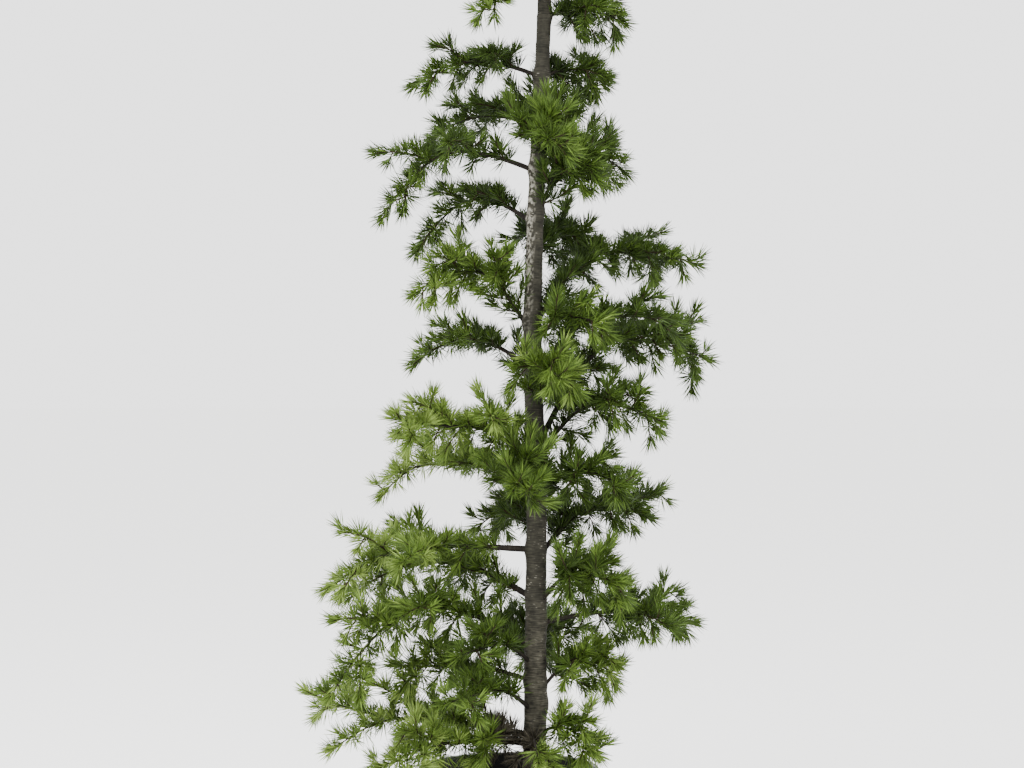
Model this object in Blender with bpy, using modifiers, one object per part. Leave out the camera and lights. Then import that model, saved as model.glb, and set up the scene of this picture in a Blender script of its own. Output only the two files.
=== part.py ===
"""Potted atlas cedar: a young conifer in a round nursery pot.

Metres, +Z up. The origin is the centre of the pot's underside, and the tree is seen from -Y.
The trunk is one tapering stem. Every branch follows one rule: it leaves the trunk's axis at a height
and a heading, climbs to its crest and lets its tip hang or rise. Some begin as a bare bough with a mass
of needled twigs on its end. The others are needled twigs from the trunk outwards.
"""

import math
import random
from dataclasses import dataclass

import bmesh
import bpy
import numpy as np

SEED = 41
GAP = 0.0003
CUT_CLEARANCE = 0.0004
UP = np.array((0.0, 0.0, 1.0))

POT_HEIGHT = 0.220
POT_RIM_RADIUS = 0.120
POT_FOOT_RADIUS = 0.090
POT_WALL = 0.0025
POT_EDGE = 0.0015
POT_LIP_WIDTH = 0.005
POT_LIP_HEIGHT = 0.012
POT_COLLAR_HEIGHT = 0.034
POT_STEP = 0.003
POT_FOOT_HEIGHT = 0.016
POT_SIDES = 24
DRAIN_HOLES = 6
DRAIN_SIDES = 12
DRAIN_RADIUS = 0.007
DRAIN_CIRCLE = 0.062
DRAIN_DEPTH = 0.020

SOIL_BELOW_RIM = 0.025
SOIL_FLAT_RADIUS = 0.068
SOIL_EDGE_DROP = 0.006
SOIL_HEIGHT = POT_HEIGHT - SOIL_BELOW_RIM

TRUNK_FOOT = SOIL_HEIGHT + GAP
TRUNK_TOP = 1.705
TRUNK_RADIUS = 0.0152
TRUNK_TIP_RADIUS = 0.0030
TRUNK_TAPER = 0.58
FLARE_RADIUS = 0.0065
FLARE_HEIGHT = 0.018
TRUNK_RINGS = 32
TRUNK_BEVEL = 3
# The rings crowd towards the foot, where the flare curves.
RING_CROWDING = 1.5
# How far the stem stands to the right of the pot's centre, at heights up the tree.
TRUNK_BENDS = ((0.19, 0.034), (0.60, 0.037), (0.79, 0.030), (0.98, 0.036), (1.24, 0.048), (1.84, 0.056))
BEND_EASE = 0.05

CREST = 0.5
SWAY = 0.035
BOUGH_SHARE = 0.36
BOUGH_STEPS = 6
# The last short step, which sets a bough's end square to the stem of its mass.
BOUGH_END_STEP = 0.01
BOUGH_BEVEL = 1
RADIUS_PER_REACH = 0.0125
LIMB_TAPER = 0.8
SHOOT_RADIUS = 0.0014
SHOOT_TIP_RADIUS = 0.0009
AXIS_SAMPLES = 48

# A tuft is one pointed tooth that stands for a bundle of needles.
TUFTS_FROM = 0.18
TUFT_LENGTH = 0.044
TUFT_PITCH = 0.031
# How steeply the tufts lean off their shoot at its foot and at its tip, in degrees.
TUFT_ANGLE = (68.0, 40.0)
TUFT_LIFT = 0.20
TUFT_LEAST_SLOPE = 0.2
# The stem stops this share of a tuft short of the branch's tip.
STEM_SHORT_OF_TIP = 0.35
SHOOT_TWIST = math.radians(38)

TWIG_SPACING = 0.045
TWIGS_AT_LEAST = 4
TWIG_OFFSET = 0.3
TWIG_SPREAD = (42, 62)
TWIG_SHARE = 0.62
TWIG_SHORTENING = 0.5
TWIG_LEAST = 0.080
TWIG_MOST = 0.145
TWIG_PAST_TIP = 0.030
TWIG_SAG = 0.24
TWIG_TWIST = 0.7
# Which way round the branch each side twig leaves it, from straight up, in degrees.
TWIG_TURNS = (74, -78, 12, 104, -46, -112, 40)
TURN_JITTER = 12
SIZE_JITTER = 0.15
SPACE_MARGIN = 0.0016
TRUNK_MARGIN = 0.0035
POT_MARGIN = 0.003

UPPER_COUNT = 8
UPPER_FROM = 1.305
UPPER_TO = 1.672
UPPER_REACH = (0.150, 0.078)
UPPER_RISE = 0.22
UPPER_DROP = 0.24
UPPER_FIRST_HEADING = 178
GOLDEN_ANGLE = 137.5
LEADER_TIP = 1.950
LEADER_NOD = 0.012


@dataclass(frozen=True)
class Branch:
    """One branch: heading is in degrees from +X towards +Y, and the rest is in metres."""

    name: str
    height: float
    heading: float
    reach: float
    rise: float
    drop: float
    has_bough: bool = False

    def point(self, share):
        """A point on the branch's axis: share 0 is on the trunk's axis, and 1 is the tip."""
        angle = math.radians(self.heading)
        outward = np.array((math.cos(angle), math.sin(angle), 0.0))
        across = np.array((-outward[1], outward[0], 0.0))
        if share < CREST:
            lift = self.rise * math.sin(math.pi / 2 * share / CREST)
        else:
            lift = self.rise - self.drop * ((share - CREST) / (1 - CREST)) ** 2
        sway = SWAY * math.sin(math.pi * share) * math.sin(7 * self.height * math.tau)
        return trunk_point(self.height) + self.reach * (outward * share + across * sway) + UP * lift

    def tangent(self, share):
        ahead = self.point(min(share + 0.01, 1.0)) - self.point(max(share - 0.01, 0.0))
        return ahead / np.linalg.norm(ahead)

    def length(self):
        points = np.array([self.point(share) for share in np.linspace(0, 1, AXIS_SAMPLES)])
        return float(np.linalg.norm(np.diff(points, axis=0), axis=1).sum())

    def radius(self, share):
        """The limb's taper, from the trunk to the tip."""
        root = SHOOT_RADIUS + RADIUS_PER_REACH * self.reach
        return root + (SHOOT_TIP_RADIUS - root) * share ** LIMB_TAPER


class Leader(Branch):
    """The young growth that carries the trunk on upwards and nods a little at its tip."""

    def point(self, share):
        nod = LEADER_NOD * share * share
        return trunk_point(self.height) + UP * self.reach * share + np.array((nod, -nod / 2, 0.0))

    def radius(self, share):
        return TRUNK_TIP_RADIUS + (SHOOT_TIP_RADIUS - TRUNK_TIP_RADIUS) * share


SHOWN_BRANCHES = (
    Branch("left_1", 1.141, 186, 0.170, 0.020, 0.034),
    Branch("left_2", 1.073, 148, 0.170, 0.022, 0.022),
    Branch("left_3", 1.015, 192, 0.207, 0.024, 0.088, True),
    Branch("left_4", 0.944, 152, 0.181, 0.038, 0.068),
    Branch("left_5", 0.797, 195, 0.160, 0.084, 0.030),
    Branch("left_6", 0.750, 146, 0.180, 0.040, 0.014),
    Branch("left_7", 0.622, 202, 0.200, 0.054, -0.012),
    Branch("left_8", 0.585, 150, 0.237, 0.040, 0.022),
    Branch("left_9", 0.511, 187, 0.278, 0.006, 0.056, True),
    Branch("left_10", 0.444, 148, 0.281, 0.044, 0.018),
    Branch("left_11", 0.377, 196, 0.278, 0.060, 0.110, True),
    Branch("left_12", 0.262, 170, 0.314, 0.016, -0.036),
    Branch("left_13", 0.252, 213, 0.240, 0.012, 0.022),
    Branch("left_14", 0.292, 232, 0.186, 0.042, 0.006),
    Branch("left_15", 1.256, 197, 0.092, 0.004, 0.046),
    Branch("left_16", 0.335, 178, 0.190, 0.020, -0.002),
    Branch("right_1", 1.222, 354, 0.104, 0.006, 0.016),
    Branch("right_2", 1.141, 30, 0.099, 0.014, 0.016),
    Branch("right_3", 1.015, 24, 0.131, 0.032, 0.028),
    Branch("right_4", 0.926, 326, 0.086, 0.094, 0.002),
    Branch("right_5", 0.804, 30, 0.219, 0.108, 0.010, True),
    Branch("right_6", 0.737, 342, 0.194, 0.085, 0.006),
    Branch("right_7", 0.644, 18, 0.248, 0.148, 0.026, True),
    Branch("right_8", 0.628, 346, 0.166, 0.078, 0.022),
    Branch("right_9", 0.497, 32, 0.206, 0.070, -0.020),
    Branch("right_10", 0.411, 358, 0.209, 0.018, 0.014, True),
    Branch("right_11", 0.311, 344, 0.108, 0.052, 0.002),
    Branch("right_12", 0.262, 318, 0.100, 0.018, 0.028),
    Branch("right_13", 0.580, 334, 0.124, 0.036, 0.016),
    Branch("front_1", 1.252, 262, 0.080, 0.024, 0.012),
    Branch("front_2", 1.030, 276, 0.112, 0.026, 0.012),
    Branch("front_3", 0.700, 286, 0.122, 0.050, 0.012),
    Branch("front_4", 0.572, 256, 0.128, 0.040, 0.016),
    Branch("front_5", 0.430, 314, 0.148, 0.054, 0.006),
    Branch("front_6", 0.242, 272, 0.118, 0.026, 0.020),
    Branch("front_7", 0.780, 316, 0.120, 0.040, 0.008),
    Branch("front_8", 0.352, 228, 0.150, 0.040, 0.010),
    Branch("back_1", 1.090, 84, 0.124, 0.024, 0.022),
    Branch("back_2", 0.905, 62, 0.160, 0.030, 0.038),
    Branch("back_3", 0.700, 72, 0.190, 0.052, 0.032),
    Branch("back_4", 0.530, 104, 0.220, 0.040, 0.040),
    Branch("back_5", 0.350, 84, 0.240, 0.036, 0.046),
)


def upper_branches():
    """The branches over the shown ones: they shorten and turn by the golden angle up to the leader."""
    made = []
    for index in range(UPPER_COUNT):
        share = index / (UPPER_COUNT - 1)
        height = UPPER_FROM + (UPPER_TO - UPPER_FROM) * share
        reach = UPPER_REACH[0] + (UPPER_REACH[1] - UPPER_REACH[0]) * share
        heading = (UPPER_FIRST_HEADING + GOLDEN_ANGLE * index) % 360
        name = f"upper_{index + 1}"
        made.append(Branch(name, height, heading, reach, reach * UPPER_RISE, reach * UPPER_DROP))
    return made


def trunk_offset(height):
    """How far the trunk's axis stands from the pot's axis, eased smoothly between the named bends."""
    heights = [bend[0] for bend in TRUNK_BENDS]
    offsets = [bend[1] for bend in TRUNK_BENDS]
    nearby = np.linspace(height - BEND_EASE, height + BEND_EASE, 9)
    return float(np.interp(nearby, heights, offsets).mean())


def trunk_point(height):
    return np.array((trunk_offset(height), 0.0, height))


def trunk_radius(height):
    """The stem's taper, with the root flare at its foot."""
    share = min(max((height - TRUNK_FOOT) / (TRUNK_TOP - TRUNK_FOOT), 0.0), 1.0)
    stem = TRUNK_TIP_RADIUS + (TRUNK_RADIUS - TRUNK_TIP_RADIUS) * (1 - share) ** TRUNK_TAPER
    return stem + FLARE_RADIUS * math.exp(-(height - TRUNK_FOOT) / FLARE_HEIGHT)


class Spaces:
    """The crown shared out between the branches: a point belongs to the branch whose axis is nearest."""

    def __init__(self, branches):
        shares = np.linspace(0, 1, AXIS_SAMPLES)
        self.axes = np.array([[branch.point(share) for share in shares] for branch in branches])
        self.index = {branch.name: number for number, branch in enumerate(branches)}

    def allow(self, branch, points):
        """Whether all of these points lie in the branch's own space, clear of the trunk and the pot."""
        points = np.atleast_2d(points)
        gaps = np.linalg.norm(self.axes[:, :, None] - points[None, None], axis=3).min(axis=1)
        own = self.index[branch.name]
        nearest_other = np.delete(gaps, own, axis=0).min(axis=0)
        if (gaps[own] + SPACE_MARGIN > nearest_other).any():
            return False
        return not any(near_trunk(point) or near_pot(point) for point in points)


def near_trunk(point):
    if point[2] > TRUNK_TOP + TRUNK_MARGIN:
        return False
    from_axis = math.hypot(point[0] - trunk_offset(point[2]), point[1])
    return from_axis < trunk_radius(point[2]) + TRUNK_MARGIN


def near_pot(point):
    is_low = point[2] < POT_HEIGHT + POT_MARGIN
    return is_low and math.hypot(point[0], point[1]) < POT_RIM_RADIUS + POT_MARGIN


def clear_scene():
    for obj in list(bpy.data.objects):
        bpy.data.objects.remove(obj, do_unlink=True)


def make_collection(name):
    collection = bpy.data.collections.new(name)
    bpy.context.scene.collection.children.link(collection)
    return collection


def make_material(name, colour, roughness):
    """A plain Principled finish; colour is linear red, green and blue."""
    material = bpy.data.materials.new(name)
    material.use_nodes = True
    shader = material.node_tree.nodes["Principled BSDF"]
    shader.inputs["Base Color"].default_value = (*colour, 1.0)
    shader.inputs["Roughness"].default_value = roughness
    shader.inputs["Metallic"].default_value = 0.0
    material.diffuse_color = (*colour, 1.0)
    return material


def hide_helper(obj):
    obj.hide_render = True
    obj.display_type = "WIRE"


def triangle_section():
    """The three-sided outline that the shoots are swept with."""
    curve = bpy.data.curves.new("shoot_section", "CURVE")
    curve.dimensions = "2D"
    spline = curve.splines.new("POLY")
    spline.points.add(2)
    for number, point in enumerate(spline.points):
        angle = math.tau * number / 3
        point.co = (math.cos(angle), math.sin(angle), 0, 1)
    spline.use_cyclic_u = True
    section = bpy.data.objects.new("shoot_section", curve)
    hide_helper(section)
    return section


def sweep(name, points, radii, collection, bevel=1, section=None, tilts=None):
    """A closed tube through the points, as a mesh object. With a section, its outline is that curve's."""
    curve = bpy.data.curves.new(name, "CURVE")
    curve.dimensions = "3D"
    curve.use_fill_caps = True
    if section:
        curve.bevel_mode = "OBJECT"
        curve.bevel_object = section
    else:
        curve.bevel_depth = 1.0
        curve.bevel_resolution = bevel
    spline = curve.splines.new("POLY")
    spline.points.add(len(points) - 1)
    for number, point in enumerate(spline.points):
        point.co = (*points[number], 1)
        point.radius = radii[number]
        point.tilt = tilts[number] if tilts else 0.0
    path = bpy.data.objects.new(name, curve)
    collection.objects.link(path)
    graph = bpy.context.evaluated_depsgraph_get()
    mesh = bpy.data.meshes.new_from_object(path.evaluated_get(graph))
    bpy.data.objects.remove(path)
    bpy.data.curves.remove(curve)
    form = bmesh.new()
    form.from_mesh(mesh)
    bmesh.ops.remove_doubles(form, verts=form.verts, dist=1e-6)
    bmesh.ops.recalc_face_normals(form, faces=form.faces)
    form.to_mesh(mesh)
    form.free()
    mesh.name = name
    obj = bpy.data.objects.new(name, mesh)
    collection.objects.link(obj)
    return obj


def side_tuft(face, path, bare_steps):
    """Where the tuft on a shoot's side face would end, or None where the shoot is bare."""
    root = np.array(face.calc_center_median())
    steps = np.diff(path, axis=0)
    middles = (path[1:] + path[:-1]) / 2
    nearest = int(np.linalg.norm(middles - root, axis=1).argmin())
    if nearest < bare_steps:
        return None
    forward = steps[nearest] / np.linalg.norm(steps[nearest])
    share = nearest / max(len(steps) - 1, 1)
    angle = math.radians(TUFT_ANGLE[0] + (TUFT_ANGLE[1] - TUFT_ANGLE[0]) * share)
    outward = np.array(face.normal)
    heading = outward * math.sin(angle) + forward * math.cos(angle) + UP * TUFT_LIFT
    heading /= np.linalg.norm(heading)
    if np.dot(heading, outward) < TUFT_LEAST_SLOPE:
        return None
    return root + heading * TUFT_LENGTH


def grow_tufts(obj, branch, points, end, bare_steps, spaces):
    """Draws a tuft out of each side face and the end of a shoot, where its own space allows."""
    form = bmesh.new()
    form.from_mesh(obj.data)
    form.normal_update()
    path = np.array(points)
    planned = []
    for face in form.faces:
        root = np.array(face.calc_center_median())
        if len(face.verts) == 4:
            tip = side_tuft(face, path, bare_steps)
        elif np.linalg.norm(root - path[-1]) < TUFT_PITCH / 4:
            tip = end
        else:
            tip = None
        if tip is not None and spaces.allow(branch, [root, (root + tip) / 2, tip]):
            planned.append((face, tip))
    for face, tip in planned:
        made = bmesh.ops.poke(form, faces=[face])
        made["verts"][0].co = tip
    form.to_mesh(obj.data)
    form.free()
    return obj


def tufted_shoot(name, branch, points, end, radii, turn, bare_steps, collection, section, spaces):
    """A three-sided shoot that twists slowly, so that its tufts stand all round it, up to its end."""
    tilts = [turn + SHOOT_TWIST * number for number in range(len(points))]
    shoot = sweep(name, points, radii, collection, section=section, tilts=tilts)
    return grow_tufts(shoot, branch, points, end, bare_steps, spaces)


def twig_paths(branch, first_share, last_share, spaces):
    """The side twigs of a branch: paths that leave its axis by turns around it and sag as they go."""
    picker = random.Random(f"{SEED}-{branch.name}")
    length = branch.length()
    count = max(TWIGS_AT_LEAST, round(length * (last_share - first_share) / TWIG_SPACING))
    paths = []
    for number in range(count):
        along = (number + TWIG_OFFSET) / count
        share = first_share + (last_share - first_share) * along
        forward = branch.tangent(share)
        across = np.cross(UP, forward)
        across /= np.linalg.norm(across)
        above = np.cross(forward, across)
        jitter = picker.uniform(-TURN_JITTER, TURN_JITTER)
        turn = math.radians(TWIG_TURNS[number % len(TWIG_TURNS)] + jitter)
        spread = math.radians(picker.uniform(*TWIG_SPREAD))
        sideways = above * math.cos(turn) + across * math.sin(turn)
        heading = forward * math.cos(spread) + sideways * math.sin(spread)
        size = length * TWIG_SHARE * (1 - TWIG_SHORTENING * along)
        size *= picker.uniform(1 - SIZE_JITTER, 1 + SIZE_JITTER)
        size = min(max(size, TWIG_LEAST), TWIG_MOST, length * (1 - share) + TWIG_PAST_TIP) - TUFT_LENGTH
        start = branch.point(share)
        steps = max(1, round(size / TUFT_PITCH))
        path = [start]
        for step in range(1, steps + 1):
            run = step / steps
            point = start + size * (heading * run - UP * TWIG_SAG * run * run)
            if not spaces.allow(branch, point):
                break
            path.append(point)
        if len(path) > 1:
            paths.append(path)
    return paths


def make_bough(branch, collection, material):
    """The bare limb between the trunk and the branch's mass of twigs."""
    end = BOUGH_SHARE - GAP / branch.reach
    shares = [end * step / BOUGH_STEPS for step in range(BOUGH_STEPS + 1)]
    shares.insert(BOUGH_STEPS, end - BOUGH_END_STEP)
    points = [branch.point(share) for share in shares]
    radii = [branch.radius(share) for share in shares]
    bough = sweep(f"bough_{branch.name}", points, radii, collection, bevel=BOUGH_BEVEL)
    bough.data.materials.append(material)
    return bough


def make_mass(branch, collection, material, section, spaces):
    """The needled twigs of a branch, joined to one solid."""
    name = f"foliage_{branch.name}"
    first = BOUGH_SHARE if branch.has_bough else 0.0
    bare_to = first + BOUGH_END_STEP if branch.has_bough else TUFTS_FROM
    last = 1 - STEM_SHORT_OF_TIP * TUFT_LENGTH / branch.length()
    steps = max(2, round(branch.length() * (last - bare_to) / TUFT_PITCH))
    shares = [first] + [bare_to + (last - bare_to) * step / steps for step in range(steps + 1)]
    points = [branch.point(share) for share in shares]
    radii = [branch.radius(share) for share in shares]
    end = branch.point(1.0)
    stem = tufted_shoot(name, branch, points, end, radii, 0.0, 1, collection, section, spaces)
    twigs = make_collection(f"twigs_{branch.name}")
    for number, path in enumerate(twig_paths(branch, bare_to, last, spaces)):
        taper = np.linspace(SHOOT_RADIUS, SHOOT_TIP_RADIUS, len(path))
        end = path[-1] + (path[-1] - path[-2]) * TUFT_LENGTH / np.linalg.norm(path[-1] - path[-2])
        tufted_shoot(f"twig_{number}", branch, path, end, taper, number * TWIG_TWIST, 0, twigs, section, spaces)
    join_with(stem, twigs)
    keep_main_shell(stem)
    stem.data.materials.clear()
    stem.data.materials.append(material)
    return stem


def join_with(obj, collection):
    """Unites the collection's closed meshes with the object, and removes them."""
    if collection.objects:
        union = obj.modifiers.new("twigs", "BOOLEAN")
        union.operation = "UNION"
        union.operand_type = "COLLECTION"
        union.collection = collection
        union.solver = "MANIFOLD"
        apply_modifiers(obj)
    for twig in list(collection.objects):
        bpy.data.objects.remove(twig)
    bpy.data.collections.remove(collection)


def keep_main_shell(obj):
    """Drops the loose scraps and sealed hollows that joining leaves: the largest shell stays."""
    form = bmesh.new()
    form.from_mesh(obj.data)
    unseen = set(form.verts)
    shells = []
    while unseen:
        shell = set()
        front = [next(iter(unseen))]
        while front:
            vert = front.pop()
            if vert in unseen:
                unseen.remove(vert)
                shell.add(vert)
                front.extend(edge.other_vert(vert) for edge in vert.link_edges)
        shells.append(shell)
    main_shell = max(shells, key=len)
    bmesh.ops.delete(form, geom=[vert for vert in form.verts if vert not in main_shell])
    form.to_mesh(obj.data)
    form.free()


def apply_modifiers(obj):
    graph = bpy.context.evaluated_depsgraph_get()
    mesh = bpy.data.meshes.new_from_object(obj.evaluated_get(graph))
    obj.modifiers.clear()
    obj.data = mesh
    obj.data.name = obj.name


def cut_with(obj, cutter):
    cut = obj.modifiers.new("cut", "BOOLEAN")
    cut.operation = "DIFFERENCE"
    cut.object = cutter
    cut.solver = "MANIFOLD"


def make_trunk(name, collection, extra=0.0):
    """The stem from its flat cut on the compost up to its tip; extra makes it fatter, as a cutter."""
    heights = []
    for ring in range(TRUNK_RINGS + 1):
        heights.append(TRUNK_FOOT + (TRUNK_TOP - TRUNK_FOOT) * (ring / TRUNK_RINGS) ** RING_CROWDING)
    points = [trunk_point(height) for height in heights]
    points[0][0] = points[1][0]
    radii = [trunk_radius(height) + extra for height in heights]
    return sweep(name, points, radii, collection, bevel=TRUNK_BEVEL)


def turned(name, profile, collection):
    """A solid of revolution about the pot's axis from a profile of (radius, height) points."""
    mesh = bpy.data.meshes.new(name)
    form = bmesh.new()
    verts = [form.verts.new((radius, 0, height)) for radius, height in profile]
    for first, second in zip(verts, verts[1:]):
        form.edges.new((first, second))
    form.to_mesh(mesh)
    form.free()
    obj = bpy.data.objects.new(name, mesh)
    collection.objects.link(obj)
    screw = obj.modifiers.new("turn", "SCREW")
    screw.steps = screw.render_steps = POT_SIDES
    screw.use_merge_vertices = True
    screw.merge_threshold = 1e-5
    return obj


def pot_radius(height):
    """The outer radius of the pot's plain tapering body."""
    return POT_FOOT_RADIUS + (POT_RIM_RADIUS - POT_LIP_WIDTH - POT_FOOT_RADIUS) * height / POT_HEIGHT


def make_pot(collection, cutters, material):
    """The pot's shell: a lip over a collar, a plain tapering wall, a stepped foot and drain holes."""
    collar = POT_HEIGHT - POT_COLLAR_HEIGHT
    lip = POT_HEIGHT - POT_LIP_HEIGHT
    profile = (
        (0.0, POT_WALL),
        (POT_FOOT_RADIUS - POT_STEP - POT_WALL, POT_WALL),
        (pot_radius(POT_FOOT_HEIGHT) - POT_STEP - POT_WALL, POT_FOOT_HEIGHT + POT_WALL),
        (pot_radius(collar) - POT_STEP - POT_WALL, collar - POT_STEP),
        (pot_radius(collar) - POT_WALL, collar),
        (pot_radius(POT_HEIGHT) - POT_WALL, POT_HEIGHT),
        (POT_RIM_RADIUS - POT_EDGE, POT_HEIGHT),
        (POT_RIM_RADIUS, POT_HEIGHT - POT_EDGE),
        (POT_RIM_RADIUS, lip),
        (POT_RIM_RADIUS - POT_WALL, lip),
        (POT_RIM_RADIUS - POT_WALL, POT_HEIGHT - POT_WALL),
        (pot_radius(POT_HEIGHT), POT_HEIGHT - POT_WALL),
        (pot_radius(collar), collar),
        (pot_radius(collar) - POT_STEP, collar - POT_STEP),
        (pot_radius(POT_FOOT_HEIGHT) - POT_STEP, POT_FOOT_HEIGHT + POT_STEP),
        (POT_FOOT_RADIUS, POT_FOOT_HEIGHT - POT_STEP),
        (POT_FOOT_RADIUS, 0.0),
        (0.0, 0.0),
    )
    pot = turned("pot", profile, collection)
    for number in range(DRAIN_HOLES):
        angle = math.tau * (number + 0.5) / DRAIN_HOLES
        bpy.ops.mesh.primitive_cylinder_add(
            vertices=DRAIN_SIDES,
            radius=DRAIN_RADIUS,
            depth=DRAIN_DEPTH,
            location=(DRAIN_CIRCLE * math.cos(angle), DRAIN_CIRCLE * math.sin(angle), 0),
        )
        drill = bpy.context.active_object
        drill.name = f"drain_{number + 1}"
        for owner in list(drill.users_collection):
            owner.objects.unlink(drill)
        cutters.objects.link(drill)
        hide_helper(drill)
        cut_with(pot, drill)
    pot.data.materials.append(material)


def make_compost(collection, material):
    """The filling: it follows the pot's inner wall a hair clear of it, and its top falls to the wall."""
    clear = POT_WALL + GAP
    collar = POT_HEIGHT - POT_COLLAR_HEIGHT
    edge = SOIL_HEIGHT - SOIL_EDGE_DROP
    profile = (
        (0.0, SOIL_HEIGHT),
        (SOIL_FLAT_RADIUS, SOIL_HEIGHT),
        (pot_radius(edge) - clear, edge),
        (pot_radius(collar) - clear, collar + GAP),
        (pot_radius(collar) - POT_STEP - clear, collar - POT_STEP + GAP),
        (pot_radius(POT_FOOT_HEIGHT) - POT_STEP - clear, POT_FOOT_HEIGHT + clear),
        (POT_FOOT_RADIUS - POT_STEP - clear, clear),
        (0.0, clear),
    )
    compost = turned("compost", profile, collection)
    compost.data.materials.append(material)


def main():
    clear_scene()
    tree = make_collection("potted_cedar")
    cutters = make_collection("cutters")
    bark = make_material("bark", (0.105, 0.088, 0.075), 0.85)
    needles = make_material("needles", (0.062, 0.150, 0.038), 0.55)
    plastic = make_material("pot_plastic", (0.012, 0.012, 0.013), 0.5)
    earth = make_material("compost", (0.035, 0.022, 0.014), 0.95)

    section = triangle_section()
    cutters.objects.link(section)
    trunk = make_trunk("trunk", tree)
    trunk.data.materials.append(bark)
    around_trunk = make_trunk("around_trunk", cutters, extra=CUT_CLEARANCE)
    hide_helper(around_trunk)
    make_pot(tree, cutters, plastic)
    make_compost(tree, earth)

    leader = Leader("leader", TRUNK_TOP + GAP, 0.0, LEADER_TIP - TRUNK_TOP, 0.0, 0.0)
    branches = [*SHOWN_BRANCHES, *upper_branches(), leader]
    spaces = Spaces(branches)
    for branch in branches:
        if branch.has_bough:
            cut_with(make_bough(branch, tree, bark), around_trunk)
        mass = make_mass(branch, tree, needles, section, spaces)
        if not branch.has_bough and branch is not leader:
            cut_with(mass, around_trunk)
            apply_modifiers(mass)
            keep_main_shell(mass)


main()
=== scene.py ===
"""Potted atlas cedar, dressed: bark, twigs and needles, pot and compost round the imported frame.

Metres, +Z up. The tree is seen from -Y, with +X to the viewer's right. The crown grows by one rule:
branches leave the trunk, twigs leave the branches, finer twigs leave both, and spurs stand along all of
them. Needles spread from each spur in a whorl. Every shoot keeps to its own branch's space.
"""

import logging
import math
import random
from collections.abc import Sequence
from dataclasses import dataclass, field
from enum import Enum
from typing import Any

import bmesh
import bpy
import numpy as np
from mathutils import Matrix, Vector

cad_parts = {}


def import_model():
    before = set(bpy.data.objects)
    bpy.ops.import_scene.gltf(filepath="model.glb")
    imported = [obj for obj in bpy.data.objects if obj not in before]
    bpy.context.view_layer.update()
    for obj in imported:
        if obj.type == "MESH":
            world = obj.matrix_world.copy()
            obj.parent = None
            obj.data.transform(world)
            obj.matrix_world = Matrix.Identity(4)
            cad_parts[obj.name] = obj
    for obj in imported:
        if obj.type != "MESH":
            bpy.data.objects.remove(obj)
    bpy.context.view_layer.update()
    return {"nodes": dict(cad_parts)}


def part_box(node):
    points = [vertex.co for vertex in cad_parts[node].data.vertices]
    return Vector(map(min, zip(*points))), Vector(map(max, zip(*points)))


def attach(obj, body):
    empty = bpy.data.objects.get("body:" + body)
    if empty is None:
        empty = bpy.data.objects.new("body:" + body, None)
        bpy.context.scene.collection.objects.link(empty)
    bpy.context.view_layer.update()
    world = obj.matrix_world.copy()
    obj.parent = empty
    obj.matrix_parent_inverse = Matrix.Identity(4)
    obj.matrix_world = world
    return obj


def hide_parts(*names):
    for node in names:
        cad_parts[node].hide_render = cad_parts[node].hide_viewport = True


LOG = logging.getLogger("cedar")
SEED = 41
UP = np.array((0.0, 0.0, 1.0))
GOLDEN_TURN = math.radians(137.508)
MILLIMETRE = 0.001
BODY = "root"
PIECE_LIMIT = 190_000

# Kinds of nodes that recur.
MATH = "ShaderNodeMath"
VECTOR_MATH = "ShaderNodeVectorMath"
MAP_RANGE = "ShaderNodeMapRange"
MIX = "ShaderNodeMix"
NOISE = "ShaderNodeTexNoise"
RANDOM = "FunctionNodeRandomValue"
STORE = "GeometryNodeStoreNamedAttribute"
RECALL = "GeometryNodeInputNamedAttribute"

# A noise swings about this value.
NOISE_MIDDLE = 0.5
# Wrinkles run round the wood: the height of one over its width.
WRINKLE_FLATNESS = 0.2
# The radius of a spur's tip over that of its foot.
SPUR_TAPER = 0.5
# Needles crowd towards the wide edge of their whorl. Each strays from its angle by up to so many
# radians, and has this share of its whorl's length.
SPREAD_POWER = 0.6
STRAY_ANGLE = 0.12
LENGTH_RANGE = (0.82, 1.06)
# A face of the compost belongs to its top if its normal rises more than this.
LEAST_UPWARD = 0.8
# A crumb's dents: how many to the metre and how deep in metres, and its least and greatest stretch.
DENT_SCALE = 600.0
DENT_DEPTH = 0.003
CRUMB_SIZES = ((0.4, 0.4, 0.3), (1.5, 1.2, 0.9))
# Points nearer than this, in metres, are one point.
SAME_PLACE = 1e-6

Inputs = dict[str | int, Any] | tuple[Any, ...]


def linear(hex_colour: str) -> tuple[float, ...]:
    """Turns an sRGB hex colour to linear red, green, blue and alpha.

    Args:
        hex_colour: a colour such as "#4c6a2c".

    Returns:
        The four linear values, with an alpha of 1.
    """
    parts = [int(hex_colour[start : start + 2], 16) / 255 for start in (1, 3, 5)]
    return *(part / 12.92 if part <= 0.04045 else ((part + 0.055) / 1.055) ** 2.4 for part in parts), 1.0


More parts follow.
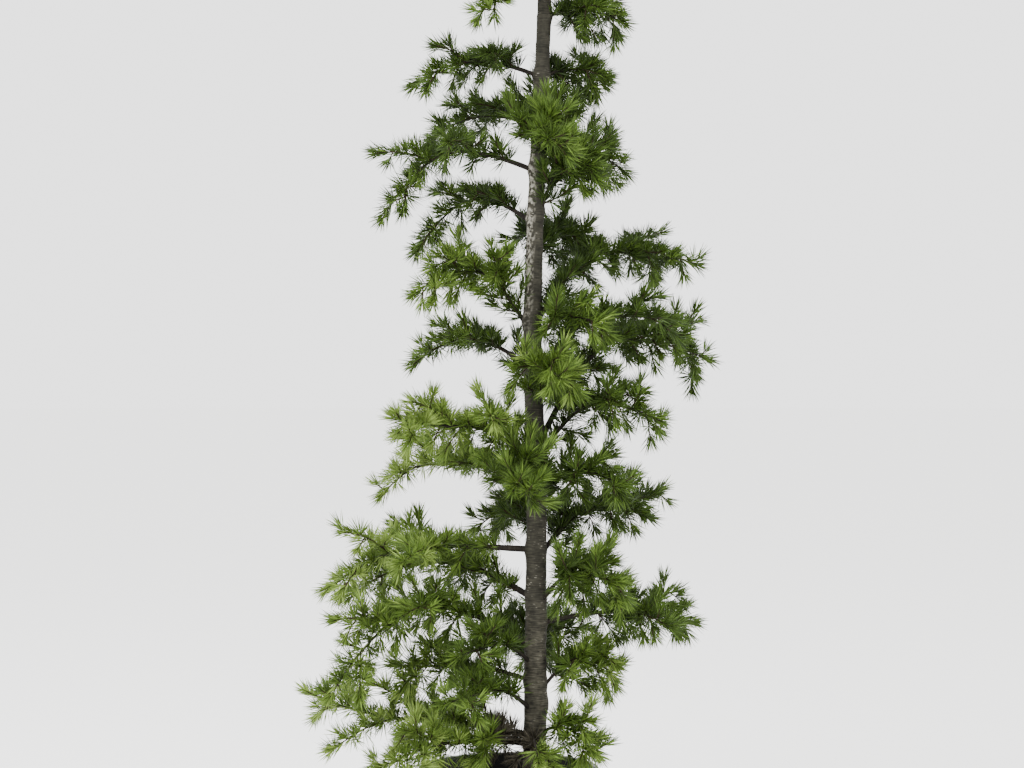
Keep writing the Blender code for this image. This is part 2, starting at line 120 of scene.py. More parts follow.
class Graph:
    """A node tree that is being built."""

    def __init__(self, tree: bpy.types.NodeTree) -> None:
        """Takes the tree."""
        self.tree = tree

    def feed(self, node: bpy.types.Node, inputs: Inputs) -> None:
        """Links a node's inputs to other nodes' outputs, or gives them their values.

        Args:
            node: the node.
            inputs: what each input takes, by name or number, or for the first ones in their order. A list
                holds the outputs that are joined in one input.
        """
        for key, value in inputs.items() if isinstance(inputs, dict) else enumerate(inputs):
            for part in value if isinstance(value, list) else [value]:
                if isinstance(part, bpy.types.NodeSocket):
                    self.tree.links.new(part, node.inputs[key])
                else:
                    node.inputs[key].default_value = part

    def add(
        self, kind: str, inputs: Inputs = (), output: str | int = 0, **settings: Any
    ) -> bpy.types.NodeSocket:
        """Adds a node with its settings, and feeds it.

        Args:
            kind: the node's type.
            inputs: what its inputs take.
            output: the output wanted, by name or number.
            settings: the node's own properties.

        Returns:
            The wanted output. Its node holds the others.
        """
        node = self.tree.nodes.new(kind)
        for key, value in settings.items():
            setattr(node, key, value)
        self.feed(node, inputs)
        return node.outputs[output]


class Recipe(Graph):
    """A Geometry Nodes tree with named inputs, which turns a host object into one finished mesh."""

    def __init__(self, name: str, inputs: dict[str, Sequence[str]]) -> None:
        """Starts the tree.

        Args:
            name: the tree's name.
            inputs: the names of its inputs, for each kind of socket.
        """
        super().__init__(bpy.data.node_groups.new(name, "GeometryNodeTree"))
        sockets = self.tree.interface
        for way in ("INPUT", "OUTPUT"):
            sockets.new_socket("Geometry", in_out=way, socket_type="NodeSocketGeometry")
        self.identifiers: dict[str, str] = {}
        for kind, keys in inputs.items():
            for key in keys:
                made = sockets.new_socket(key, in_out="INPUT", socket_type=f"NodeSocket{kind}")
                self.identifiers[key] = made.identifier
        self.given = self.tree.nodes.new("NodeGroupInput").outputs

    def end(self, geometry: bpy.types.NodeSocket, material: bpy.types.NodeSocket) -> None:
        """Realizes the instances, sets the material and closes the tree.

        Args:
            geometry: what the tree has made.
            material: the input that holds its material.
        """
        real = self.add("GeometryNodeRealizeInstances", {"Geometry": geometry})
        dressed = self.add("GeometryNodeSetMaterial", {"Geometry": real, "Material": material})
        self.feed(self.tree.nodes.new("NodeGroupOutput"), {"Geometry": dressed})

    def run(self, host: bpy.types.Object, values: dict[str, Any]) -> bpy.types.Object:
        """Runs the tree once on a host, which is used up.

        Args:
            host: the object whose curves or points the tree reads.
            values: a value for each named input.

        Returns:
            A new object with the host's name and the plain mesh that the tree made.
        """
        modifier = host.modifiers.new(self.tree.name, "NODES")
        modifier.node_group = self.tree
        for key, value in values.items():
            modifier[self.identifiers[key]] = value
        graph = bpy.context.evaluated_depsgraph_get()
        mesh = bpy.data.meshes.new_from_object(host.evaluated_get(graph))
        host.modifiers.remove(modifier)
        name = host.name
        discard(host)
        return new_piece(name, mesh)


class Surface(Graph):
    """A material that is being built."""

    def __init__(self, name: str) -> None:
        """Starts the material."""
        self.material = bpy.data.materials.new(name)
        self.material.use_nodes = True
        super().__init__(self.material.node_tree)

    def end(
        self,
        colour: bpy.types.NodeSocket | tuple[float, ...],
        roughness: bpy.types.NodeSocket | float,
        specular: float = 0.5,
        bump: bpy.types.NodeSocket | None = None,
    ) -> bpy.types.Material:
        """Feeds the material's shader.

        Args:
            colour: its colour.
            roughness: its roughness.
            specular: the strength of its gloss.
            bump: its surface's fine relief.

        Returns:
            The finished material.
        """
        inputs = {"Base Color": colour, "Roughness": roughness, "Specular IOR Level": specular}
        if bump is not None:
            inputs["Normal"] = bump
        self.feed(self.tree.nodes["Principled BSDF"], inputs)
        return self.material


def new_piece(name: str, mesh: bpy.types.Mesh) -> bpy.types.Object:
    """Links a new object that shows the mesh, and names both."""
    mesh.name = name
    piece = bpy.data.objects.new(name, mesh)
    bpy.context.scene.collection.objects.link(piece)
    return piece


def discard(obj: bpy.types.Object) -> None:
    """Removes a helper object from the file."""
    bpy.data.objects.remove(obj, do_unlink=True)


def triangles(piece: bpy.types.Object) -> int:
    """Counts the triangles of a piece's mesh."""
    return sum(len(face.vertices) - 2 for face in piece.data.polygons)


def hand_over(piece: bpy.types.Object, nodes: Sequence[str] = ()) -> None:
    """Gives a finished piece to the frame, and reports it.

    Args:
        piece: the finished piece.
        nodes: the frame's nodes that it stands for.
    """
    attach(piece, BODY)
    if nodes:
        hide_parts(*nodes)
    count = triangles(piece)
    if count > PIECE_LIMIT:
        LOG.warning("%s is over the limit of a piece", piece.name)
    LOG.info("%-24s %7d triangles", piece.name, count)


class Tint(Enum):
    """The colours of the needles, from the dark inside of the crown to its growing tips, and withered; the
    dark end is partly painted shade, and the pale end partly painted light.
    """

    DEEP = "#202d0e"
    GREEN = "#2d3d15"
    FRESH = "#3c4f1c"
    BRIGHT = "#516628"
    PALE = "#6c803c"
    WITHERED = "#444035"


TINT_SCALE = (Tint.DEEP, Tint.GREEN, Tint.FRESH, Tint.BRIGHT, Tint.PALE)


class ToneAndLight(Enum):
    """How fresh a branch is and, as painted light and shade, how lit it is: where its needles stand on the
    scale of tints, inside and at its tips.
    """

    SHADED = (0.0, 1.6)
    DARK = (0.2, 2.0)
    MIDDLE = (0.5, 2.5)
    FRESH = (1.1, 3.1)
    BRIGHT = (1.7, 3.8)


@dataclass(frozen=True)
class Growth:
    """How finer twigs leave their wood: their turns round it from straight up, spacing and lengths."""

    turns: tuple[float, ...]
    spacing: float
    sizes: tuple[float, float]
    bare_share: float


FLAT = (82, -80, 24, 112, -34, -116)
ALL_ROUND = (82, -150, 24, 180, -34, 112, -88, 150)
SHORT = (0.018, 0.042)
MEDIUM = (0.026, 0.060)
LONG = (0.038, 0.078)


class Habit(Enum):
    """How a branch fills its space: open, hanging, rising or brushed out, and how near the trunk."""

    OPEN = Growth(FLAT, 0.016, SHORT, 0.24)
    CLOSE = Growth(FLAT, 0.016, SHORT, 0.08)
    DROOPING = Growth((82, -112, 150, -80, 112, -150), 0.016, SHORT, 0.16)
    HANGING = Growth((82, -150, 112, 180, -88, 134, -112, 150), 0.0115, MEDIUM, 0.08)
    RISING = Growth((12, -34, 82, -8, 30, -80, 112, -20), 0.0095, LONG, 0.08)
    BUSHY = Growth(ALL_ROUND, 0.0095, LONG, 0.08)
    FULL = Growth(ALL_ROUND, 0.0115, MEDIUM, 0.08)
    LIMBED = Growth(ALL_ROUND, 0.0115, MEDIUM, 0.31)


@dataclass(frozen=True)
class NeedleFinish:
    """A living cedar needle: its waxy skin gives a satin gloss, and no two are quite the same green."""

    tint: Tint
    shades: tuple[float, float] = (0.6, 1.45)
    roughness: float = 0.48
    specular: float = 0.12

    def build(self) -> bpy.types.Material:
        """Makes the material: each needle's own shade scales the tint."""
        surface = Surface(f"needle_{self.tint.name.lower()}")
        add = surface.add
        shade = add("ShaderNodeAttribute", output="Fac", attribute_name="shade")
        level = add(MAP_RANGE, (shade, 0.0, 1.0, *self.shades))
        grey = add("ShaderNodeCombineColor", (level, level, level))
        inputs = {"Factor": 1.0, 6: linear(self.tint.value), 7: grey}
        colour = add(MIX, inputs, 2, data_type="RGBA", blend_type="MULTIPLY")
        return surface.end(colour, self.roughness, self.specular)


def pitches(width: float, height: float) -> tuple[float, float, float]:
    """Gives how many marks of a width and a height go into a metre of bark, along each axis."""
    return 1 / width, 1 / width, 1 / height


@dataclass(frozen=True)
class BarkFinish:
    """Young cedar bark: smooth grey-brown cork with fine rings round it and pale raised lenticels.

    The pattern follows the wood through the attribute bark_place, which holds the place on the bark in
    metres: across it in X and Y, and along the stem in Z. A pair of limits runs from none to all.
    """

    name: str
    dark: str
    light: str
    fleck: str
    fleck_share: float = 0.0
    patch_size: float = 16 * MILLIMETRE
    ring_width: float = 40 / 3 * MILLIMETRE
    ring_height: float = 1.6 * MILLIMETRE
    lenticel_width: float = 11 * MILLIMETRE
    lenticel_height: float = 2.8 * MILLIMETRE
    lenticel_limits: tuple[float, float] = (0.30, 0.14)
    gathered_limits: tuple[float, float] = (0.52, 0.66)
    light_limits: tuple[float, float] = (0.13, 0.38)
    bump_depth: float = 0.35 * MILLIMETRE
    bump_strength: float = 0.8
    roughness: float = 0.82
    specular: float = 0.15
    # Higher up the bark is darker, partly as younger bark and partly as painted shade of the crown over the
    # upper trunk: how much of its light ground is left, and from where.
    young_share: float = 1.0
    young_limits: tuple[float, float] = (0.18, 0.26)
    # The pale bloom, partly real pale bark and partly a painted highlight on the trunk's lit left side: how
    # strong, where along the stem, how far to the left, and its smears.
    bloom_share: float = 0.0
    bloom_ends: tuple[float, float] = (0.60, 0.87)
    bloom_fade: float = 0.05
    bloom_facing: tuple[float, float] = (0.1, -0.5)
    bloom_limits: tuple[float, float] = (0.45, 0.62)
    bloom_width: float = 4.5 * MILLIMETRE
    bloom_height: float = 5 * MILLIMETRE

    def bloom(self, surface: Surface, place: bpy.types.NodeSocket) -> bpy.types.NodeSocket:
        """Gives the share of the pale bloom, which smears the bark's left side along one stretch. It is
        partly real pale bark and partly a painted highlight, kept to the side that the light falls on.

        Args:
            surface: the bark's material.
            place: the place on the bark.

        Returns:
            The share, from 0 to bloom_share.
        """
        add = surface.add
        along = add("ShaderNodeSeparateXYZ", (place,), "Z")
        facing = add("ShaderNodeTexCoord", output="Normal")
        sideways = add("ShaderNodeSeparateXYZ", (facing,), "X")
        marks = pitches(self.bloom_width, self.bloom_height)
        spots = add(VECTOR_MATH, (place, marks), operation="MULTIPLY")
        smears = add(NOISE, {"Vector": spots, "Scale": 1.0, "Detail": 3.0})
        low, high = self.bloom_ends
        limits = (
            (along, low, low + self.bloom_fade),
            (along, high, high - self.bloom_fade),
            (sideways, *self.bloom_facing),
            (smears, *self.bloom_limits),
        )
        share: bpy.types.NodeSocket | float = self.bloom_share
        for limit in limits:
            share = add(MATH, (add(MAP_RANGE, limit), share), operation="MULTIPLY")
        return share

    def build(self) -> bpy.types.Material:
        """Makes the material: patches, rings, lenticels and bloom, each at its real size, with a painted
        highlight in the bloom and painted shade higher up the stem.
        """
        surface = Surface(self.name)
        add = surface.add
        place = add("ShaderNodeAttribute", output="Vector", attribute_name="bark_place")
        scale = 1 / self.patch_size
        patches = add(NOISE, {"Vector": place, "Scale": scale, "Detail": 4.0, "Roughness": 0.6})
        marks = pitches(self.ring_width, self.ring_height)
        bands = add(VECTOR_MATH, (place, marks), operation="MULTIPLY")
        rings = add(NOISE, {"Vector": bands, "Scale": 1.0, "Detail": 2.0})
        marks = pitches(self.lenticel_width, self.lenticel_height)
        cells = add(VECTOR_MATH, (place, marks), operation="MULTIPLY")
        dots = add("ShaderNodeTexVoronoi", {"Vector": cells, "Scale": 1.0, "Randomness": 1.0})
        spots = add(MAP_RANGE, (dots, *self.lenticel_limits))
        gathered = add(MAP_RANGE, (patches, *self.gathered_limits))
        lenticels = add(MATH, (spots, gathered), operation="MULTIPLY")
        blend = add(MATH, (patches, rings), operation="MULTIPLY")
        share = add(MAP_RANGE, (blend, *self.light_limits))
        # Painted shade: the light ground fades up the stem for the crown's shade on the upper trunk, as well
        # as for its younger bark.
        if self.young_share < 1:
            along = add("ShaderNodeSeparateXYZ", (place,), "Z")
            left = add(MAP_RANGE, (along, *self.young_limits, 1.0, self.young_share))
            share = add(MATH, (share, left), operation="MULTIPLY")
        dark, light, fleck = (linear(colour) for colour in (self.dark, self.light, self.fleck))
        ground = add(MIX, {"Factor": share, 6: dark, 7: light}, 2, data_type="RGBA")
        flecks_and_highlight = add(MATH, (lenticels, self.fleck_share), operation="MULTIPLY")
        # Painted highlight: the bloom is laid only on the bark's left side, where the light falls.
        if self.bloom_share:
            flecks_and_highlight = add(MATH, (flecks_and_highlight, self.bloom(surface, place)), operation="MAXIMUM")
        colour = add(MIX, {"Factor": flecks_and_highlight, 6: ground, 7: fleck}, 2, data_type="RGBA")
        height = add(MATH, (rings, lenticels), operation="ADD")
        relief = {"Strength": self.bump_strength, "Distance": self.bump_depth, "Height": height}
        return surface.end(colour, self.roughness, self.specular, add("ShaderNodeBump", relief))


@dataclass(frozen=True)
class PotFinish:
    """Blow-moulded black polythene: a satin skin, scuffed grey in places and dulled by dried soil."""

    skin: str = "#0d0d0e"
    dust: str = "#2e2a25"
    specular: float = 0.2
    dust_size: float = 22 * MILLIMETRE
    dust_limits: tuple[float, float] = (0.48, 0.78)
    dust_share: float = 0.5
    dull_limits: tuple[float, float] = (0.35, 0.7)
    gloss: tuple[float, float] = (0.38, 0.62)
    grain_size: float = 0.9 * MILLIMETRE
    grain_depth: float = 0.05 * MILLIMETRE
    grain_strength: float = 0.5

    def build(self) -> bpy.types.Material:
        """Makes the material: moulded grain, with dust that also dulls the gloss."""
        surface = Surface("moulded_polythene")
        add = surface.add
        place = add("ShaderNodeTexCoord", output="Object")
        scale = 1 / self.dust_size
        cloud = add(NOISE, {"Vector": place, "Scale": scale, "Detail": 6.0, "Roughness": 0.65})
        dusty = add(MAP_RANGE, (cloud, *self.dust_limits, 0.0, self.dust_share))
        inputs = {"Factor": dusty, 6: linear(self.skin), 7: linear(self.dust)}
        colour = add(MIX, inputs, 2, data_type="RGBA")
        dull = add(MAP_RANGE, (cloud, *self.dull_limits, *self.gloss))
        grain = add(NOISE, {"Vector": place, "Scale": 1 / self.grain_size})
        relief = {"Strength": self.grain_strength, "Distance": self.grain_depth, "Height": grain}
        return surface.end(colour, dull, self.specular, add("ShaderNodeBump", relief))


@dataclass(frozen=True)
class CompostFinish:
    """Peat and bark compost: dark, moist and crumbly, with paler crumbs where it has dried."""

    moist: str = "#2a1f17"
    dry: str = "#5b4635"
    dry_limits: tuple[float, float] = (0.35, 1.1)
    crumb_size: float = 3 * MILLIMETRE
    crumb_share: float = 0.6
    bump_depth: float = 0.8 * MILLIMETRE
    bump_strength: float = 0.9
    roughness: float = 0.95

    def build(self) -> bpy.types.Material:
        """Makes the material: each crumb's own shade, with a fine grain over it."""
        surface = Surface("peat_compost")
        add = surface.add
        place = add("ShaderNodeTexCoord", output="Object")
        scale = 1 / self.crumb_size
        grain = add(NOISE, {"Vector": place, "Scale": scale, "Detail": 5.0, "Roughness": 0.7})
        shade = add("ShaderNodeAttribute", output="Fac", attribute_name="shade")
        crumbs = add(MATH, (shade, self.crumb_share), operation="MULTIPLY")
        mixed = add(MATH, (crumbs, grain), operation="ADD")
        share = add(MAP_RANGE, (mixed, *self.dry_limits))
        inputs = {"Factor": share, 6: linear(self.moist), 7: linear(self.dry)}
        colour = add(MIX, inputs, 2, data_type="RGBA")
        relief = {"Strength": self.bump_strength, "Distance": self.bump_depth, "Height": grain}
        return surface.end(colour, self.roughness, bump=add("ShaderNodeBump", relief))


@dataclass(frozen=True)
class Stem:
    """The trunk's line and thickness, from its flat cut on the compost to its tip."""

    foot: float
    top: float
    radius: float = 0.0152
    tip_radius: float = 0.0030
    taper: float = 0.58
    flare_radius: float = 0.0065
    flare_height: float = 0.018
    bends: tuple[tuple[float, float], ...] = (
        (0.19, 0.034),
        (0.60, 0.037),
        (0.79, 0.030),
        (0.98, 0.036),
        (1.24, 0.048),
        (1.84, 0.056),
    )
    bend_ease: float = 0.05
    ease_samples: int = 9

    def offset(self, height: float) -> float:
        """Gives how far right of the pot's axis the stem stands, eased between its bends."""
        heights = [bend[0] for bend in self.bends]
        offsets = [bend[1] for bend in self.bends]
        nearby = np.linspace(height - self.bend_ease, height + self.bend_ease, self.ease_samples)
        return float(np.interp(nearby, heights, offsets).mean())

    def point(self, height: float) -> np.ndarray:
        """Gives the point of the stem's axis at a height."""
        return np.array((self.offset(height), 0.0, height))

    def thickness(self, height: float) -> float:
        """Gives the stem's radius at a height, with the root flare at its foot."""
        share = min(max((height - self.foot) / (self.top - self.foot), 0.0), 1.0)
        plain = self.tip_radius + (self.radius - self.tip_radius) * (1 - share) ** self.taper
        return plain + self.flare_radius * math.exp(-(height - self.foot) / self.flare_height)


@dataclass(frozen=True)
class Branch:
    """One branch: it climbs to its crest and then lets its tip hang or rise. Its heading is in degrees."""

    stem: Stem
    name: str
    height: float
    heading: float
    reach: float
    rise: float
    drop: float
    tone: ToneAndLight
    habit: Habit
    has_bough: bool = False
    crest: float = 0.5
    sway: float = 0.035
    shoot_radius: float = 0.0014
    tip_radius: float = 0.0009
    radius_per_reach: float = 0.0125
    limb_taper: float = 0.8
    samples: int = 48
    sway_waves: float = 7
    step: float = 0.01

    def point(self, share: float) -> np.ndarray:
        """Gives a point of the axis: share 0 is on the trunk's axis, and 1 is the tip."""
        angle = math.radians(self.heading)
        outward = np.array((math.cos(angle), math.sin(angle), 0.0))
        across = np.array((-outward[1], outward[0], 0.0))
        if share < self.crest:
            lift = self.rise * math.sin(math.pi / 2 * share / self.crest)
        else:
            lift = self.rise - self.drop * ((share - self.crest) / (1 - self.crest)) ** 2
        sway = self.sway * math.sin(math.pi * share) * math.sin(self.sway_waves * self.height * math.tau)
        return self.stem.point(self.height) + self.reach * (outward * share + across * sway) + UP * lift

    def tangent(self, share: float) -> np.ndarray:
        """Gives the axis's direction."""
        ahead = self.point(min(share + self.step, 1.0)) - self.point(max(share - self.step, 0.0))
        return ahead / np.linalg.norm(ahead)

    def axis(self, count: int) -> np.ndarray:
        """Gives evenly shared points from the trunk to the tip."""
        return np.array([self.point(share) for share in np.linspace(0, 1, count)])

    def length(self) -> float:
        """Gives the length of the axis."""
        return float(np.linalg.norm(np.diff(self.axis(self.samples), axis=0), axis=1).sum())

    def radius(self, share: float) -> float:
        """Gives the limb's radius, which tapers from the trunk to the tip."""
        root = self.shoot_radius + self.radius_per_reach * self.reach
        return root + (self.tip_radius - root) * share**self.limb_taper

    def side(self) -> str:
        """Names the side of the crown that the branch belongs to."""
        return self.name.split("_")[0]


@dataclass(frozen=True)
class Leader(Branch):
    """The young growth that carries the trunk on upwards and nods a little at its tip."""

    nod: float = 0.012

    def point(self, share: float) -> np.ndarray:
        """Gives a point of the leader's axis, from the trunk's tip upwards."""
        nod = self.nod * share * share
        return self.stem.point(self.height) + UP * self.reach * share + np.array((nod, -nod / 2, 0.0))

    def radius(self, share: float) -> float:
        """Gives the leader's radius, which takes over the trunk's."""
        return self.stem.tip_radius + (self.tip_radius - self.stem.tip_radius) * share

    def side(self) -> str:
        """The leader tops the upper crown."""
        return "upper"


# Name, height, heading, reach, rise, drop, tone (freshness with painted light and shade) and habit of each
# branch beside the shown stretch of trunk.
SHOWN_BRANCHES = (
    ("left_1", 1.141, 186, 0.170, 0.020, 0.034, ToneAndLight.DARK, Habit.DROOPING),
    ("left_2", 1.073, 148, 0.170, 0.022, 0.022, ToneAndLight.DARK, Habit.OPEN),
    ("left_3", 1.015, 192, 0.207, 0.024, 0.088, ToneAndLight.DARK, Habit.DROOPING),
    ("left_4", 0.944, 152, 0.181, 0.038, 0.068, ToneAndLight.DARK, Habit.DROOPING),
    ("left_5", 0.797, 195, 0.160, 0.084, 0.030, ToneAndLight.FRESH, Habit.FULL),
    ("left_6", 0.750, 146, 0.180, 0.040, 0.014, ToneAndLight.MIDDLE, Habit.OPEN),
    ("left_7", 0.622, 202, 0.200, 0.054, -0.012, ToneAndLight.BRIGHT, Habit.FULL),
    ("left_8", 0.585, 150, 0.237, 0.040, 0.022, ToneAndLight.BRIGHT, Habit.OPEN),
    ("left_9", 0.511, 187, 0.278, 0.006, 0.056, ToneAndLight.BRIGHT, Habit.DROOPING),
    ("left_10", 0.444, 148, 0.281, 0.044, 0.018, ToneAndLight.FRESH, Habit.FULL),
    ("left_11", 0.377, 196, 0.278, 0.060, 0.110, ToneAndLight.FRESH, Habit.FULL),
    ("left_12", 0.262, 170, 0.314, 0.016, -0.036, ToneAndLight.BRIGHT, Habit.CLOSE),
    ("left_13", 0.252, 213, 0.240, 0.012, 0.022, ToneAndLight.BRIGHT, Habit.FULL),
    ("left_14", 0.292, 232, 0.186, 0.042, 0.006, ToneAndLight.MIDDLE, Habit.CLOSE),
    ("left_15", 1.256, 197, 0.092, 0.004, 0.046, ToneAndLight.MIDDLE, Habit.OPEN),
    ("left_16", 0.335, 178, 0.190, 0.020, -0.002, ToneAndLight.FRESH, Habit.FULL),
    ("right_1", 1.222, 354, 0.104, 0.006, 0.016, ToneAndLight.DARK, Habit.HANGING),
    ("right_2", 1.141, 30, 0.099, 0.014, 0.016, ToneAndLight.DARK, Habit.HANGING),
    ("right_3", 1.015, 24, 0.131, 0.032, 0.028, ToneAndLight.DARK, Habit.FULL),
    ("right_4", 0.926, 326, 0.086, 0.094, 0.002, ToneAndLight.DARK, Habit.BUSHY),
    ("right_5", 0.804, 30, 0.219, 0.108, 0.010, ToneAndLight.DARK, Habit.HANGING),
    ("right_6", 0.737, 342, 0.194, 0.085, 0.006, ToneAndLight.SHADED, Habit.OPEN),
    ("right_7", 0.644, 18, 0.248, 0.148, 0.026, ToneAndLight.DARK, Habit.LIMBED),
    ("right_8", 0.628, 346, 0.166, 0.078, 0.022, ToneAndLight.DARK, Habit.FULL),
    ("right_9", 0.497, 32, 0.206, 0.070, -0.020, ToneAndLight.DARK, Habit.HANGING),
    ("right_10", 0.411, 358, 0.209, 0.018, 0.014, ToneAndLight.DARK, Habit.LIMBED),
    ("right_11", 0.311, 344, 0.108, 0.052, 0.002, ToneAndLight.FRESH, Habit.BUSHY),
    ("right_12", 0.262, 318, 0.100, 0.018, 0.028, ToneAndLight.FRESH, Habit.BUSHY),
    ("right_13", 0.580, 334, 0.124, 0.036, 0.016, ToneAndLight.DARK, Habit.FULL),
    ("front_1", 1.252, 262, 0.080, 0.024, 0.012, ToneAndLight.MIDDLE, Habit.OPEN),
    ("front_2", 1.030, 276, 0.112, 0.026, 0.012, ToneAndLight.MIDDLE, Habit.RISING),
    ("front_3", 0.700, 286, 0.122, 0.050, 0.012, ToneAndLight.FRESH, Habit.FULL),
    ("front_4", 0.572, 256, 0.128, 0.040, 0.016, ToneAndLight.MIDDLE, Habit.RISING),
    ("front_5", 0.430, 314, 0.148, 0.054, 0.006, ToneAndLight.MIDDLE, Habit.BUSHY),
    ("front_6", 0.242, 272, 0.118, 0.026, 0.020, ToneAndLight.FRESH, Habit.FULL),
    ("front_7", 0.780, 316, 0.120, 0.040, 0.008, ToneAndLight.MIDDLE, Habit.FULL),
    ("front_8", 0.352, 228, 0.150, 0.040, 0.010, ToneAndLight.DARK, Habit.CLOSE),
    ("back_1", 1.090, 84, 0.124, 0.024, 0.022, ToneAndLight.DARK, Habit.FULL),
    ("back_2", 0.905, 62, 0.160, 0.030, 0.038, ToneAndLight.DARK, Habit.FULL),
    ("back_3", 0.700, 72, 0.190, 0.052, 0.032, ToneAndLight.DARK, Habit.FULL),
    ("back_4", 0.530, 104, 0.220, 0.040, 0.040, ToneAndLight.MIDDLE, Habit.FULL),
    ("back_5", 0.350, 84, 0.240, 0.036, 0.046, ToneAndLight.MIDDLE, Habit.FULL),
)


@dataclass(frozen=True)
class UpperRule:
    """The branches over the shown ones: they shorten and turn by the golden angle up to the leader."""

    count: int = 8
    heights: tuple[float, float] = (1.305, 1.672)
    reaches: tuple[float, float] = (0.150, 0.078)
    rise: float = 0.22
    drop: float = 0.24
    first_heading: float = 178
    turn: float = 137.5
    leader_tip: float = 1.950
    leader_gap: float = 0.0003

    def grow(self, stem: Stem) -> list[Branch]:
        """Gives the upper branches and the leader."""
        made: list[Branch] = []
        for index in range(self.count):
            share = index / (self.count - 1)
            height = self.heights[0] + (self.heights[1] - self.heights[0]) * share
            reach = self.reaches[0] + (self.reaches[1] - self.reaches[0]) * share
            heading = (self.first_heading + self.turn * index) % 360
            name = f"upper_{index + 1}"
            rise = reach * self.rise
            drop = reach * self.drop
            made.append(Branch(stem, name, height, heading, reach, rise, drop, ToneAndLight.MIDDLE, Habit.FULL))
        tip = self.leader_tip - stem.top
        root = stem.top + self.leader_gap
        made.append(Leader(stem, "leader", root, 0.0, tip, 0.0, 0.0, ToneAndLight.FRESH, Habit.FULL))
        return made


@dataclass(frozen=True)
class Shoot:
    """One length of wood, from its root to its tip.

    Freshness runs from 0, old wood beside the trunk, to 1, the growing tips, at its root and its tip.
    """

    path: np.ndarray
    radii: np.ndarray
    bare: float
    freshness: tuple[float, float]

    def distances(self) -> np.ndarray:
        """Gives how far along the shoot each point of its path lies."""
        steps = np.linalg.norm(np.diff(self.path, axis=0), axis=1)
        return np.concatenate(((0.0,), np.cumsum(steps)))

    def at(self, distance: float) -> tuple[np.ndarray, np.ndarray]:
        """Gives the point at a distance along the shoot, and its direction there."""
        marks = self.distances()
        index = int(np.clip(np.searchsorted(marks, distance) - 1, 0, len(self.path) - 2))
        step = self.path[index + 1] - self.path[index]
        forward = step / np.linalg.norm(step)
        return self.path[index] + forward * (distance - marks[index]), forward


@dataclass(frozen=True)
class Whorl:
    """The needles of one spur: they spread round its aim, between a narrow and a wide angle."""

    root: np.ndarray
    aim: np.ndarray
    count: int
    narrow: float
    wide: float
    length: float
    tint: Tint


def unit(vector: np.ndarray) -> np.ndarray:
    """Gives the vector at length 1."""
    return vector / np.linalg.norm(vector)


def square_to(forward: np.ndarray, turn: float) -> np.ndarray:
    """Gives the direction square to a shoot that lies a turn round it from straight up."""
    across = unit(np.cross(UP, forward))
    return np.cross(forward, across) * math.cos(turn) + across * math.sin(turn)


def leaving(forward: np.ndarray, turn: float, spread: float) -> tuple[np.ndarray, np.ndarray]:
    """Gives the way in which a twig leaves its shoot.

    Args:
        forward: the shoot's direction.
        turn: the turn round the shoot from straight up, in degrees.
        spread: the angle between the shoot and the twig, in degrees.

    Returns:
        The direction square to the shoot, and the twig's own.
    """
    sideways = square_to(forward, math.radians(turn))
    angle = math.radians(spread)
    return sideways, forward * math.cos(angle) + sideways * math.sin(angle)


